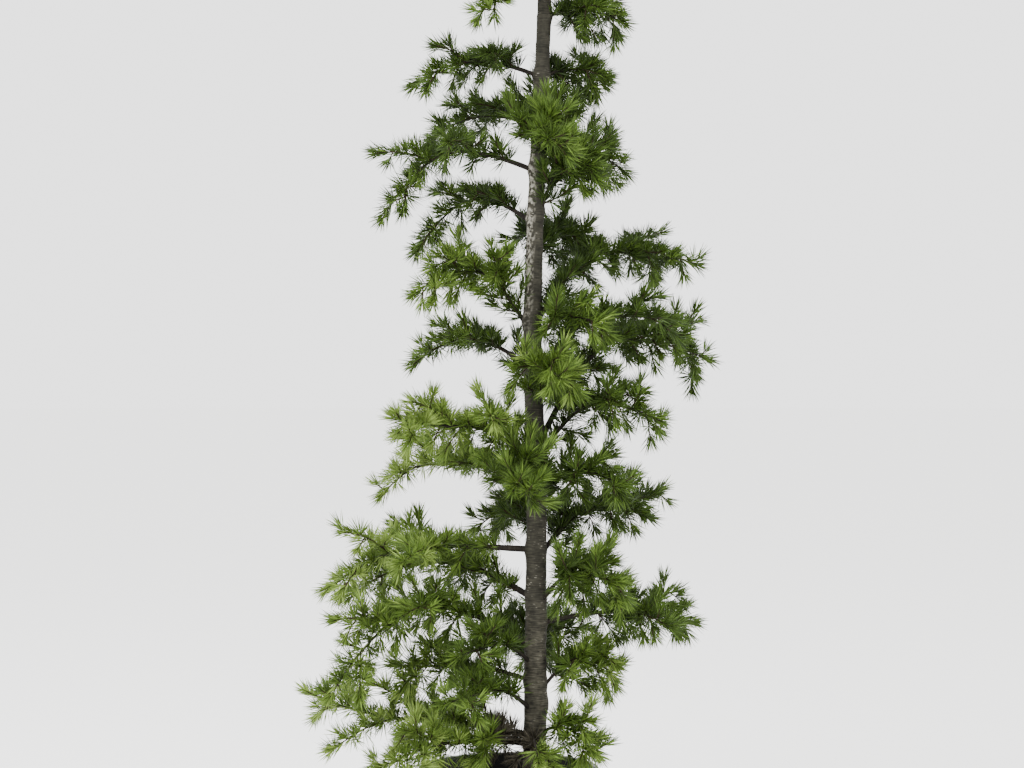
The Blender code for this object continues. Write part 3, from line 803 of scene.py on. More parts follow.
@dataclass
class Crown:
    """The crown's branches, the space of each, and the rule by which twigs, spurs and needles fill it."""

    stem: Stem
    branches: list[Branch]
    pot_height: float
    pot_radius: float
    space_margin: float = 0.0016
    trunk_margin: float = 0.0035
    pot_margin: float = 0.003
    twigs_from: float = 0.18
    bough_share: float = 0.36
    bough_step: float = 0.01
    tuft_length: float = 0.044
    stem_short_of_tip: float = 0.35
    twig_spacing: float = 0.045
    twigs_at_least: int = 4
    twig_offset: float = 0.3
    twig_spread: tuple[float, float] = (42, 62)
    twig_share: float = 0.62
    twig_shortening: float = 0.5
    twig_sizes: tuple[float, float] = (0.080, 0.145)
    twig_past_tip: float = 0.030
    twig_sag: float = 0.24
    twig_turns: tuple[float, ...] = (74, -78, 12, 104, -46, -112, 40)
    turn_jitter: float = 12
    size_jitter: float = 0.15
    twig_freshening: float = 0.7
    path_step: float = 0.005
    # Finer twigs, which the solids leave out.
    bud_length: float = 0.016
    fine_places: tuple[float, float] = (0.2, 0.8)
    fine_turn_jitter: float = 14
    fine_spread: tuple[float, float] = (46, 68)
    fine_rise: float = 0.22
    hanging_below: float = -0.6
    fine_shortening: float = 0.68
    fine_radii: tuple[float, float] = (1.1, 0.8)
    fine_freshening: float = 0.25
    twig_bare: float = 0.009
    fine_bare: float = 0.004
    # Spurs and their needles.
    spur_spacing: float = 0.0068
    spur_jitter: tuple[float, float] = (0.8, 1.2)
    spur_needles: tuple[int, int] = (12, 32)
    spur_angles: tuple[float, float] = (6, 52)
    spur_lean: float = 0.72
    spur_lift: float = 0.30
    needle_length: float = 0.0275
    needle_jitter: float = 0.10
    tip_zone: float = 0.022
    tip_spacing: float = 0.0025
    tip_needles: int = 7
    tip_angles: tuple[float, float] = (10, 36)
    tip_shortening: float = 0.10
    tip_lean: float = 0.1
    tip_lift: float = 0.1
    last_needles: int = 9
    last_angles: tuple[float, float] = (4, 40)
    tint_spread: float = 0.5
    # Old needles left of the foot have withered.
    withered_below: float = 0.295
    withered_within: float = 0.078
    # The stretch of trunk that shows from the front, which no twig or spur stands before.
    shown_heights: tuple[float, float] = (0.264, 0.565)
    shown_width: float = 0.026
    axes: np.ndarray = field(init=False)
    place: dict[str, int] = field(init=False)

    def __post_init__(self) -> None:
        """Lays out the axes that share the space between them."""
        self.axes = np.array([branch.axis(branch.samples) for branch in self.branches])
        self.place = {branch.name: number for number, branch in enumerate(self.branches)}

    def allowed(self, branch: Branch, points: np.ndarray) -> np.ndarray:
        """Tells which points lie in the branch's own space, clear of the trunk and the pot.

        Args:
            branch: the branch that grows there.
            points: one point in each row.

        Returns:
            True or False for each point.
        """
        gaps = np.linalg.norm(self.axes[:, :, None] - points[None, None], axis=3).min(axis=1)
        own = self.place[branch.name]
        others = np.delete(gaps, own, axis=0).min(axis=0)
        clear = gaps[own] + self.space_margin <= others
        return clear & ~self.near_trunk(points) & ~self.near_pot(points) & ~self.before_trunk(points)

    def before_trunk(self, points: np.ndarray) -> np.ndarray:
        """Tells which points stand before the stretch of trunk that shows from the front."""
        low, high = self.shown_heights
        sideways = np.array([abs(x - self.stem.offset(height)) for x, _, height in points])
        is_level = (low < points[:, 2]) & (points[:, 2] < high)
        return is_level & (sideways < self.shown_width) & (points[:, 1] < 0)

    def near_trunk(self, points: np.ndarray) -> np.ndarray:
        """Tells which points are in the trunk or too near it."""
        result = np.zeros(len(points), bool)
        for index, (x, y, height) in enumerate(points):
            if height <= self.stem.top + self.trunk_margin:
                from_axis = math.hypot(x - self.stem.offset(height), y)
                result[index] = from_axis < self.stem.thickness(height) + self.trunk_margin
        return result

    def near_pot(self, points: np.ndarray) -> np.ndarray:
        """Tells which points are in the pot or too near its rim."""
        is_low = points[:, 2] < self.pot_height + self.pot_margin
        return is_low & (np.hypot(points[:, 0], points[:, 1]) < self.pot_radius + self.pot_margin)

    def lay(
        self,
        branch: Branch,
        path: np.ndarray,
        radii: tuple[float, float],
        bare: float,
        freshness: tuple[float, float],
    ) -> list[Shoot]:
        """Lays a shoot along a path as far as its branch's space goes; its root may lie on the trunk.

        Args:
            branch: the branch in whose space it stays.
            path: the points that it would follow.
            radii: its radius at its root and its tip.
            bare: how long its bare foot is.
            freshness: how fresh it is at its root and its tip.

        Returns:
            The shoot, or nothing where there is no room for it.
        """
        blocked = ~self.allowed(branch, path[1:])
        if blocked.any():
            path = path[: int(np.argmax(blocked)) + 1]
        if len(path) < 3:
            return []
        return [Shoot(path, np.linspace(*radii, len(path)), bare, freshness)]

    def axis_shoot(self, branch: Branch) -> Shoot:
        """Gives the branch's own axis as a shoot."""
        length = branch.length()
        count = max(8, round(length / self.path_step))
        path = branch.axis(count)
        radii = np.array([branch.radius(share) for share in np.linspace(0, 1, count)])
        return Shoot(path, radii, length * branch.habit.value.bare_share, (0.0, 1.0))

    def twigs(self, branch: Branch) -> list[Shoot]:
        """Grows the side twigs: they leave the axis by turns round it and sag as they go."""
        picker = random.Random(f"{SEED}-{branch.name}")
        length = branch.length()
        first = self.bough_share + self.bough_step if branch.has_bough else self.twigs_from
        last = 1 - self.stem_short_of_tip * self.tuft_length / length
        count = max(self.twigs_at_least, round(length * (last - first) / self.twig_spacing))
        made: list[Shoot] = []
        for number in range(count):
            along = (number + self.twig_offset) / count
            share = first + (last - first) * along
            turn = self.twig_turns[number % len(self.twig_turns)]
            turn += picker.uniform(-self.turn_jitter, self.turn_jitter)
            _, heading = leaving(branch.tangent(share), turn, picker.uniform(*self.twig_spread))
            size = length * self.twig_share * (1 - self.twig_shortening * along)
            size *= picker.uniform(1 - self.size_jitter, 1 + self.size_jitter)
            room = length * (1 - share) + self.twig_past_tip
            size = min(max(size, self.twig_sizes[0]), self.twig_sizes[1], room) - self.tuft_length
            reach = size + self.bud_length
            runs = np.linspace(0, reach / size, max(4, round(reach / self.path_step)))[:, None]
            path = branch.point(share) + size * (heading * runs - UP * self.twig_sag * runs * runs)
            outer = min(1.0, share + self.twig_freshening * reach / length)
            radii = (branch.shoot_radius, branch.tip_radius)
            made += self.lay(branch, path, radii, self.twig_bare, (share, outer))
        return made

    def fine_twigs(self, branch: Branch, parent: Shoot, picker: random.Random) -> list[Shoot]:
        """Grows the finer twigs of a shoot, which turn up towards the light or hang under it.

        Args:
            branch: the branch in whose space they stay.
            parent: the shoot that they leave.
            picker: the source of chance.

        Returns:
            The finer twigs.
        """
        habit = branch.habit.value
        length = float(parent.distances()[-1])
        root_share, tip_share = self.fine_radii
        radii = (branch.tip_radius * root_share, branch.tip_radius * tip_share)
        made: list[Shoot] = []
        for number in range(int((length - parent.bare) / habit.spacing)):
            distance = parent.bare + (number + picker.uniform(*self.fine_places)) * habit.spacing
            start, forward = parent.at(distance)
            turn = habit.turns[number % len(habit.turns)]
            turn += picker.uniform(-self.fine_turn_jitter, self.fine_turn_jitter)
            sideways, heading = leaving(forward, turn, picker.uniform(*self.fine_spread))
            age = float(np.interp(distance / length, (0, 1), parent.freshness))
            size = picker.uniform(*habit.sizes) * (1 - self.fine_shortening * age)
            runs = np.linspace(0, 1, max(3, round(size / self.path_step)))[:, None]
            lift = self.fine_rise if sideways @ UP > self.hanging_below else -self.fine_rise
            path = start + size * (heading * runs + UP * lift * runs * runs)
            outer = min(1.0, age + self.fine_freshening)
            made += self.lay(branch, path, radii, self.fine_bare, (age, outer))
        return made

    def pick_tint(self, branch: Branch, root: np.ndarray, freshness: float, picker: random.Random) -> Tint:
        """Deals a whorl its tint from its place, its freshness, its branch's tone and chance. The tone and
        the darker inside of each branch carry painted light and shade as well as freshness.
        """
        inner, outer = branch.tone.value
        # Painted light and shade: the branch's tone and its darker inside set the level, along with real
        # freshness.
        level = inner + (outer - inner) * freshness + picker.gauss(0, self.tint_spread)
        x, y, height = root
        right_of_stem = x - self.stem.offset(height)
        is_near = math.hypot(right_of_stem, y) < self.withered_within
        if height < self.withered_below and right_of_stem < 0 and is_near:
            return Tint.WITHERED
        return TINT_SCALE[int(np.clip(round(level), 0, len(TINT_SCALE) - 1))]

    def whorls(self, branch: Branch, shoot: Shoot, picker: random.Random) -> list[Whorl]:
        """Sets whorls of needles along a shoot and a brush of them on its tip.

        Args:
            branch: the shoot's branch.
            shoot: the shoot.
            picker: the source of chance.

        Returns:
            The whorls, from the root to the tip.
        """
        length = float(shoot.distances()[-1])
        tip_from = length - min(self.tip_zone, length / 2)
        made = []
        turn = picker.uniform(0, math.tau)
        distance = shoot.bare + picker.uniform(0, self.spur_spacing)
        while distance < length:
            root, forward = shoot.at(distance)
            radial = square_to(forward, turn)
            freshness = float(np.interp(distance / length, (0, 1), shoot.freshness))
            size = self.needle_length * picker.uniform(1 - self.needle_jitter, 1 + self.needle_jitter)
            if distance < tip_from:
                height = (radial @ UP + 1) / 2
                fewest, most = self.spur_needles
                aim = unit(radial + forward * self.spur_lean + UP * self.spur_lift)
                count = round(fewest + (most - fewest) * height)
                angles = self.spur_angles
                distance += self.spur_spacing * picker.uniform(*self.spur_jitter)
            else:
                past = (distance - tip_from) / (length - tip_from)
                aim = unit(forward + radial * self.tip_lean + UP * self.tip_lift)
                count = self.tip_needles
                angles = self.tip_angles
                size *= 1 - self.tip_shortening * past
                distance += self.tip_spacing
            tint = self.pick_tint(branch, root, freshness, picker)
            narrow, wide = (math.radians(angle) for angle in angles)
            if not self.before_trunk(root[None])[0]:
                made.append(Whorl(root, aim, count, narrow, wide, size, tint))
            turn += GOLDEN_TURN
        root, forward = shoot.at(length)
        aim = unit(forward + UP * self.tip_lift)
        size = self.needle_length * (1 - self.tip_shortening)
        tint = self.pick_tint(branch, root, shoot.freshness[1], picker)
        narrow, wide = (math.radians(angle) for angle in self.last_angles)
        made.append(Whorl(root, aim, self.last_needles, narrow, wide, size, tint))
        return made

    def grow(self, branch: Branch) -> tuple[Shoot, list[Shoot], list[Whorl]]:
        """Grows one branch.

        Args:
            branch: the branch.

        Returns:
            Its axis, its twigs of both kinds, and its whorls of needles.
        """
        picker = random.Random(f"{SEED}-{branch.name}-fine")
        axis = self.axis_shoot(branch)
        twigs = self.twigs(branch)
        fine = [shoot for parent in (axis, *twigs) for shoot in self.fine_twigs(branch, parent, picker)]
        whorls = [whorl for shoot in (axis, *twigs, *fine) for whorl in self.whorls(branch, shoot, picker)]
        return axis, twigs + fine, whorls


def wood_recipe() -> Recipe:
    """Builds the tree that sweeps wood along curves, with wrinkles, lumps and branch collars.

    The curve's radius is the wood's. Spurs are stubby cones on the points of another object.
    """
    lengths = ("Segment", "Wrinkle height", "Wrinkle depth", "Lump size", "Lump depth")
    more_lengths = ("Collar reach", "Collar rise", "Spur length", "Spur radius")
    recipe = Recipe(
        "swept_wood",
        {
            "Int": ("Sides",),
            "Float": lengths + more_lengths,
            "Object": ("Collar points", "Spur points"),
            "Material": ("Bark",),
        },
    )
    given, add = recipe.given, recipe.add
    radius = add("GeometryNodeInputRadius")
    reached = add("GeometryNodeSplineParameter", output="Length")
    turn = add("GeometryNodeSplineParameter", output="Factor")
    inputs = {"Curve": given["Geometry"], "Length": given["Segment"]}
    line = add("GeometryNodeResampleCurve", inputs, mode="LENGTH")
    for key, value in (("along", reached), ("girth", radius)):
        line = add(STORE, {"Geometry": line, "Name": key, "Value": value})
    outline = add("GeometryNodeCurvePrimitiveCircle", {"Resolution": given["Sides"], "Radius": 1.0})
    outline = add(STORE, {"Geometry": outline, "Name": "around", "Value": turn})
    inputs = {"Curve": line, "Profile Curve": outline, "Scale": radius, "Fill Caps": True}
    wood = add("GeometryNodeCurveToMesh", inputs)
    around, girth, along = (add(RECALL, {"Name": key}) for key in ("around", "girth", "along"))
    angle = add(MATH, (around, math.tau), operation="MULTIPLY")
    circle = [add(MATH, (angle,), operation=wave) for wave in ("COSINE", "SINE")]
    across = [add(MATH, (part, girth), operation="MULTIPLY") for part in circle]
    place = add("ShaderNodeCombineXYZ", (*across, along))
    inputs = {"Geometry": wood, "Name": "bark_place", "Value": place}
    wood = add(STORE, inputs, data_type="FLOAT_VECTOR")

    pitch = add(MATH, (1.0, given["Wrinkle height"]), operation="DIVIDE")
    flat_pitch = add(MATH, (pitch, WRINKLE_FLATNESS), operation="MULTIPLY")
    all_pitches = add("ShaderNodeCombineXYZ", (flat_pitch, flat_pitch, pitch))
    stretched = add(VECTOR_MATH, (place, all_pitches), operation="MULTIPLY")
    wrinkles = add(NOISE, {"Vector": stretched, "Scale": 1.0, "Detail": 1.0})
    lump_pitch = add(MATH, (1.0, given["Lump size"]), operation="DIVIDE")
    lumps = add(NOISE, {"Vector": place, "Scale": lump_pitch, "Detail": 2.0})
    relief: bpy.types.NodeSocket | float = 0.0
    for waves, depth in ((wrinkles, "Wrinkle depth"), (lumps, "Lump depth")):
        centred = add(MATH, (waves, NOISE_MIDDLE), operation="SUBTRACT")
        raised = add(MATH, (centred, given[depth]), operation="MULTIPLY")
        relief = add(MATH, (relief, raised), operation="ADD")
    roots = add("GeometryNodeObjectInfo", {"Object": given["Collar points"]}, "Geometry")
    gap = add("GeometryNodeProximity", (roots,), "Distance", target_element="POINTS")
    ratio = add(MATH, (gap, given["Collar reach"]), operation="DIVIDE")
    square = add(MATH, (ratio, ratio), operation="MULTIPLY")
    minus = add(MATH, (square, -1.0), operation="MULTIPLY")
    bell = add(MATH, (minus,), operation="EXPONENT")
    collars = add(MATH, (bell, given["Collar rise"]), operation="MULTIPLY")
    relief = add(MATH, (relief, collars), operation="ADD")
    normal = add("GeometryNodeInputNormal")
    offset = add(VECTOR_MATH, {0: normal, "Scale": relief}, operation="SCALE")
    wood = add("GeometryNodeSetPosition", {"Geometry": wood, "Offset": offset})
    wood = add("GeometryNodeSetShadeSmooth", {"Geometry": wood})

    spots = add("GeometryNodeObjectInfo", {"Object": given["Spur points"]}, "Geometry")
    spots = add("GeometryNodeMeshToPoints", {"Mesh": spots})
    aim = add(RECALL, {"Name": "aim"}, data_type="FLOAT_VECTOR")
    aligned = add("FunctionNodeAlignRotationToVector", {"Vector": aim}, axis="Z")
    foot, depth = given["Spur radius"], given["Spur length"]
    top = add(MATH, (foot, SPUR_TAPER), operation="MULTIPLY")
    inputs = {"Vertices": 4, "Radius Top": top, "Radius Bottom": foot, "Depth": depth}
    cone = add("GeometryNodeMeshCone", inputs)
    inputs = {"Points": spots, "Instance": cone, "Rotation": aligned}
    spurs = add("GeometryNodeInstanceOnPoints", inputs)
    recipe.end(add("GeometryNodeJoinGeometry", ([spurs, wood],)), given["Bark"])
    return recipe


def needle_recipe() -> Recipe:
    """Builds the tree that spreads needles from each whorl, and leaves out those that would pierce wood."""
    solids = ("Trunk", "Pot", "Compost")
    recipe = Recipe(
        "needle_whorls",
        {
            "Object": ("Needle", *solids),
            "Float": ("Width", "Lift", "Wobble"),
            "Material": ("Needle finish",),
        },
    )
    given, add = recipe.given, recipe.add
    ranges = ((0.0, given["Wobble"]), (-STRAY_ANGLE, STRAY_ANGLE), (0.0, math.tau), LENGTH_RANGE)
    chances = [add(RANDOM, {2: low, 3: high, "Seed": seed}, 1) for seed, (low, high) in enumerate(ranges, 1)]
    wobble, stray, roll, vary = chances
    narrow, wide, plain = (add(RECALL, {"Name": key}) for key in ("narrow", "wide", "length"))
    count = add(RECALL, {"Name": "count"}, data_type="INT")
    aim = add(RECALL, {"Name": "aim"}, data_type="FLOAT_VECTOR")
    spots = add("GeometryNodeMeshToPoints", {"Mesh": given["Geometry"]})
    each = add("GeometryNodeDuplicateElements", {"Geometry": spots, "Amount": count}, domain="POINT")
    index = each.node.outputs["Duplicate Index"]
    turned = add(MATH, (index, GOLDEN_TURN), operation="MULTIPLY")
    azimuth = add(MATH, (turned, wobble), operation="ADD")
    middle = add(MATH, (index, 0.5), operation="ADD")
    share = add(MATH, (middle, count), operation="DIVIDE")
    share = add(MATH, (share, SPREAD_POWER), operation="POWER")
    polar = add(MIX, {"Factor": share, 2: narrow, 3: wide})
    polar = add(MATH, (polar, stray), operation="ADD")
    angles = add("ShaderNodeCombineXYZ", {1: polar, 2: azimuth})
    opened = add("FunctionNodeEulerToRotation", {"Euler": angles})
    local = add("FunctionNodeRotateVector", {"Vector": tuple(UP), "Rotation": opened})
    aimed = add("FunctionNodeAlignRotationToVector", {"Vector": aim}, axis="Z")
    heading = add("FunctionNodeRotateVector", {"Vector": local, "Rotation": aimed})
    lift = add("ShaderNodeCombineXYZ", {2: given["Lift"]})
    heading = add(VECTOR_MATH, (heading, lift), operation="ADD")
    rotation = add("FunctionNodeAlignRotationToVector", {"Vector": heading}, axis="Z")
    rolled = add("FunctionNodeAxisAngleToRotation", {"Axis": tuple(UP), "Angle": roll})
    rotation = add("FunctionNodeRotateRotation", (rotation, rolled), rotation_space="LOCAL")
    length = add(MATH, (plain, vary), operation="MULTIPLY")

    walls = [add("GeometryNodeObjectInfo", {"Object": given[key]}, "Geometry") for key in solids]
    target = add("GeometryNodeJoinGeometry", (walls,))
    inputs = {"Target Geometry": target, "Ray Direction": heading, "Ray Length": length}
    is_hit = add("GeometryNodeRaycast", inputs, "Is Hit")
    inputs = {"Geometry": each, "Selection": is_hit}
    kept = add("GeometryNodeDeleteGeometry", inputs, domain="POINT")
    needle = add("GeometryNodeObjectInfo", {"Object": given["Needle"]}, "Geometry")
    size = add("ShaderNodeCombineXYZ", (given["Width"], given["Width"], length))
    inputs = {"Points": kept, "Instance": needle, "Rotation": rotation, "Scale": size}
    needles = add("GeometryNodeInstanceOnPoints", inputs)
    inputs = {"Geometry": needles, "Name": "shade", "Value": add(RANDOM, {"Seed": 5}, 1)}
    recipe.end(add(STORE, inputs, domain="INSTANCE"), given["Needle finish"])
    return recipe


def compost_recipe() -> Recipe:
    """Builds the tree that roughens the compost's top and strews crumbs over it."""
    numbers = ("Relief", "Lump size", "Crumb radius", "Crumbs")
    recipe = Recipe("strewn_compost", {"Float": numbers, "Material": ("Compost finish",)})
    given, add = recipe.given, recipe.add
    normal = add("GeometryNodeInputNormal")
    upward = add("ShaderNodeSeparateXYZ", (normal,), "Z")
    is_top = add("FunctionNodeCompare", (upward, LEAST_UPWARD), operation="GREATER_THAN")
    pitch = add(MATH, (1.0, given["Lump size"]), operation="DIVIDE")
    lumps = add(NOISE, {"Scale": pitch, "Detail": 3.0})
    centred = add(MATH, (lumps, NOISE_MIDDLE), operation="SUBTRACT")
    raised = add(MATH, (centred, given["Relief"]), operation="MULTIPLY")
    offset = add("ShaderNodeCombineXYZ", {2: raised})
    inputs = {"Geometry": given["Geometry"], "Selection": is_top, "Offset": offset}
    ground = add("GeometryNodeSetPosition", inputs)
    inputs = {"Mesh": ground, "Selection": is_top, "Density": given["Crumbs"], "Seed": 6}
    spots = add("GeometryNodeDistributePointsOnFaces", inputs)
    crumb = add("GeometryNodeMeshIcoSphere", {"Radius": given["Crumb radius"], "Subdivisions": 1})
    place = add("GeometryNodeInputPosition")
    dent = add(NOISE, {"Vector": place, "Scale": DENT_SCALE, "Detail": 0.0}, "Color")
    dent = add(VECTOR_MATH, (dent, (NOISE_MIDDLE,) * 3), operation="SUBTRACT")
    dent = add(VECTOR_MATH, {0: dent, "Scale": DENT_DEPTH}, operation="SCALE")
    crumb = add("GeometryNodeSetPosition", {"Geometry": crumb, "Offset": dent})
    ranges = (((0.0,) * 3, (math.tau,) * 3), CRUMB_SIZES)
    turns, size = (
        add(RANDOM, {0: low, 1: high, "Seed": seed}, data_type="FLOAT_VECTOR")
        for seed, (low, high) in enumerate(ranges, 7)
    )
    spin = add("FunctionNodeEulerToRotation", {"Euler": turns})
    inputs = {"Points": spots, "Instance": crumb, "Rotation": spin, "Scale": size}
    crumbs = add("GeometryNodeInstanceOnPoints", inputs)
    inputs = {"Geometry": crumbs, "Name": "shade", "Value": add(RANDOM, {"Seed": 9}, 1)}
    crumbs = add(STORE, inputs, domain="INSTANCE")
    recipe.end(add("GeometryNodeJoinGeometry", ([crumbs, ground],)), given["Compost finish"])
    return recipe


def curve_host(name: str, shoots: Sequence[Shoot]) -> bpy.types.Object:
    """Lays shoots out as one curve object, with each point's radius."""
    curve = bpy.data.curves.new(name, "CURVE")
    curve.dimensions = "3D"
    for shoot in shoots:
        spline = curve.splines.new("POLY")
        spline.points.add(len(shoot.path) - 1)
        places = np.column_stack((shoot.path, np.ones(len(shoot.path))))
        spline.points.foreach_set("co", places.astype(np.float32).ravel())
        spline.points.foreach_set("radius", shoot.radii.astype(np.float32))
    host = bpy.data.objects.new(name, curve)
    bpy.context.scene.collection.objects.link(host)
    return host


def point_host(name: str, places: Sequence[np.ndarray], values: dict[str, Sequence[Any]]) -> bpy.types.Object:
    """Lays points out as a mesh of loose vertices with attributes.

    Args:
        name: the object's name.
        places: the points.
        values: for each attribute, its value at each point: vectors, whole numbers or other numbers.

    Returns:
        The object.
    """
    mesh = bpy.data.meshes.new(name)
    mesh.from_pydata([tuple(place) for place in places], [], [])
    for key, listed in values.items():
        array = np.array(listed)
        if array.ndim == 2:
            kind = "FLOAT_VECTOR"
        elif array.dtype.kind == "i":
            kind = "INT"
        else:
            kind = "FLOAT"
        attribute = mesh.attributes.new(key, kind, "POINT")
        attribute.data.foreach_set("vector" if kind == "FLOAT_VECTOR" else "value", array.ravel())
    return new_piece(name, mesh)


def closed_piece(name: str, form: bmesh.types.BMesh) -> bpy.types.Object:
    """Gives a closed form as an object, with its faces turned outwards.

    Args:
        name: the object's name.
        form: the form, which is used up.

    Returns:
        The object.
    """
    bmesh.ops.recalc_face_normals(form, faces=form.faces)
    mesh = bpy.data.meshes.new(name)
    form.to_mesh(mesh)
    form.free()
    return new_piece(name, mesh)


@dataclass(frozen=True)
class NeedleShape:
    """One needle at unit length and width: a slim closed spindle with a ridge under it."""

    widest_at: float = 0.42
    thickness: float = 0.35

    def build(self) -> bpy.types.Object:
        """Makes the four-faced needle, which points along +Z from its root."""
        form = bmesh.new()
        root = form.verts.new((0, 0, 0))
        left, right = (form.verts.new((x, self.thickness, self.widest_at)) for x in (-0.5, 0.5))
        tip = form.verts.new((0, 0, 1))
        for corners in ((root, left, right), (left, tip, right), (root, tip, left), (root, right, tip)):
            form.faces.new(corners)
        return closed_piece("needle", form)


@dataclass(frozen=True)
class WoodForm:
    """How one kind of wood is swept: its sides and segments, its relief and its bark."""

    sides: int
    segment: float
    wrinkle_height: float
    wrinkle_depth: float
    lump_size: float
    lump_depth: float
    collar_rise: float
    bark: BarkFinish


# The old grey bark, the limbs' dark one and the young brown one.
TRUNK_BARK = BarkFinish(
    "cedar_bark",
    "#1e1d18",
    "#524f44",
    "#9a968a",
    fleck_share=0.6,
    lenticel_width=8 * MILLIMETRE,
    # The upper trunk darkens, partly as painted shade.
    young_share=0.42,
    bloom_share=0.85,
)
LIMB_BARK = BarkFinish("limb_bark", "#13110e", "#2b2620", "#4a463d", fleck_share=0.15)
TWIG_BARK = BarkFinish("twig_bark", "#1a140e", "#3a2f21", "#55492f", fleck_share=0.1)


@dataclass
class Wood:
    """All the tree's wood: the trunk with its relief, the limbs and boughs, and the twigs with spurs."""

    stem: Stem
    trunk_form: WoodForm = WoodForm(48, 0.0022, 0.0034, 0.0009, 0.026, 0.0026, 0.0026, TRUNK_BARK)
    limb_form: WoodForm = WoodForm(9, 0.0032, 0.003, 0.0003, 0.011, 0.0011, 0.0, LIMB_BARK)
    twig_form: WoodForm = WoodForm(5, 0.006, 0.003, 0.0003, 0.011, 0.0006, 0.0, TWIG_BARK)
    trunk_samples: int = 240
    collar_reach: float = 0.0085
    # The short swelling on the trunk's right side, over the foot.
    swelling_height: float = 0.306
    swelling_reach: float = 0.013
    swelling_size: float = 0.0019
    spur_length: float = 0.0034
    spur_radius: float = 0.0011
    recipe: Recipe = field(default_factory=wood_recipe)
    barks: dict[WoodForm, bpy.types.Material] = field(init=False)

    def __post_init__(self) -> None:
        """Makes each form's bark."""
        forms = (self.trunk_form, self.limb_form, self.twig_form)
        self.barks = {form: form.bark.build() for form in forms}

    def sweep(
        self, name: str, form: WoodForm, shoots: Sequence[Shoot], points: dict[str, bpy.types.Object]
    ) -> bpy.types.Object:
        """Sweeps wood along shoots.

        Args:
            name: the piece's name.
            form: the kind of wood.
            shoots: the shoots.
            points: the objects whose points the recipe reads, by its inputs. They are used up.

        Returns:
            The finished piece.
        """
        values = {key.replace("_", " ").capitalize(): value for key, value in vars(form).items()}
        values |= {
            "Collar reach": self.collar_reach,
            "Spur length": self.spur_length,
            "Spur radius": self.spur_radius,
            "Bark": self.barks[form],
            **points,
        }
        piece = self.recipe.run(curve_host(name, shoots), values)
        for helper in points.values():
            discard(helper)
        return piece

    def trunk(self, branches: Sequence[Branch]) -> bpy.types.Object:
        """Makes the trunk: its rings, wrinkles and lumps, and a collar under each branch.

        Args:
            branches: the branches that leave it.

        Returns:
            The finished trunk.
        """
        heights = np.linspace(self.stem.foot, self.stem.top, self.trunk_samples)
        away = (heights - self.swelling_height) / self.swelling_reach
        swelling = self.swelling_size * np.exp(-(away**2))
        path = np.array([self.stem.point(height) for height in heights])
        path[:, 0] += swelling
        radii = np.array([self.stem.thickness(height) for height in heights]) + swelling
        beside = [branch for branch in branches if not isinstance(branch, Leader)]
        roots = [branch.point(self.stem.thickness(branch.height) / branch.reach) for branch in beside]
        points = {"Collar points": point_host("collars", roots, {})}
        return self.sweep("trunk_bark", self.trunk_form, [Shoot(path, radii, 0.0, (0.0, 0.0))], points)

    def limbs(self, side: str, axes: Sequence[Shoot]) -> bpy.types.Object:
        """Makes one side's limbs, from the trunk to their tips."""
        return self.sweep(f"limbs_{side}", self.limb_form, axes, {})

    def twigs(self, side: str, shoots: Sequence[Shoot], whorls: Sequence[Whorl]) -> bpy.types.Object:
        """Makes one side's twigs, with a spur under each whorl."""
        roots = [whorl.root for whorl in whorls]
        spots = point_host("spur_points", roots, {"aim": [whorl.aim for whorl in whorls]})
        return self.sweep(f"twigs_{side}", self.twig_form, shoots, {"Spur points": spots})


@dataclass
class Foliage:
    """The needles: one joined piece for each tint on each side of the crown."""

    nodes: dict[str, bpy.types.Object]
    width: float = 0.0016
    lift: float = 0.06
    wobble: float = 0.9
    shape: NeedleShape = NeedleShape()
    recipe: Recipe = field(default_factory=needle_recipe)
    needle: bpy.types.Object = field(init=False)
    finishes: dict[Tint, bpy.types.Material] = field(init=False)

    def __post_init__(self) -> None:
        """Makes the needle and the finish of each tint."""
        self.needle = self.shape.build()
        self.finishes = {tint: NeedleFinish(tint).build() for tint in Tint}

    def piece(self, name: str, tint: Tint, whorls: Sequence[Whorl]) -> bpy.types.Object:
        """Makes one piece of needles.

        Args:
            name: the piece's name.
            tint: its tint.
            whorls: the whorls that it holds.

        Returns:
            The finished piece.
        """
        columns = ("aim", "count", "narrow", "wide", "length")
        values = {column: [getattr(whorl, column) for whorl in whorls] for column in columns}
        host = point_host(name, [whorl.root for whorl in whorls], values)
        given = {key.capitalize(): self.nodes[key] for key in ("trunk", "pot", "compost")}
        given |= {"Needle": self.needle, "Needle finish": self.finishes[tint]}
        given |= {"Width": self.width, "Lift": self.lift, "Wobble": self.wobble}
        return self.recipe.run(host, given)

    def side(self, side: str, whorls: Sequence[Whorl]) -> list[bpy.types.Object]:
        """Makes all the pieces of needles of one side."""
        made = []
        for tint in Tint:
            chosen = [whorl for whorl in whorls if whorl.tint is tint]
            if chosen:
                made.append(self.piece(f"needles_{side}_{tint.name.lower()}", tint, chosen))
        return made

    def clear_away(self) -> None:
        """Removes the single needle that the others were made from."""
        discard(self.needle)


def turned_mesh(name: str, profile: Sequence[tuple[float, float]], sides: int) -> bpy.types.Object:
    """Turns a profile about the pot's axis to a closed solid.

    Args:
        name: the object's name.
        profile: the profile's points, each a radius and a height.
        sides: how many sides the solid has.

    Returns:
        The object, shaded smooth.
    """
    form = bmesh.new()
    verts = [form.verts.new((radius, 0, height)) for radius, height in profile]
    edges = [form.edges.new(pair) for pair in zip(verts, verts[1:])]
    circle = {"cent": (0, 0, 0), "axis": (0, 0, 1), "angle": math.tau, "steps": sides}
    bmesh.ops.spin(form, geom=[*verts, *edges], **circle)
    bmesh.ops.remove_doubles(form, verts=form.verts, dist=SAME_PLACE)
    piece = closed_piece(name, form)
    piece.data.shade_smooth()
    return piece


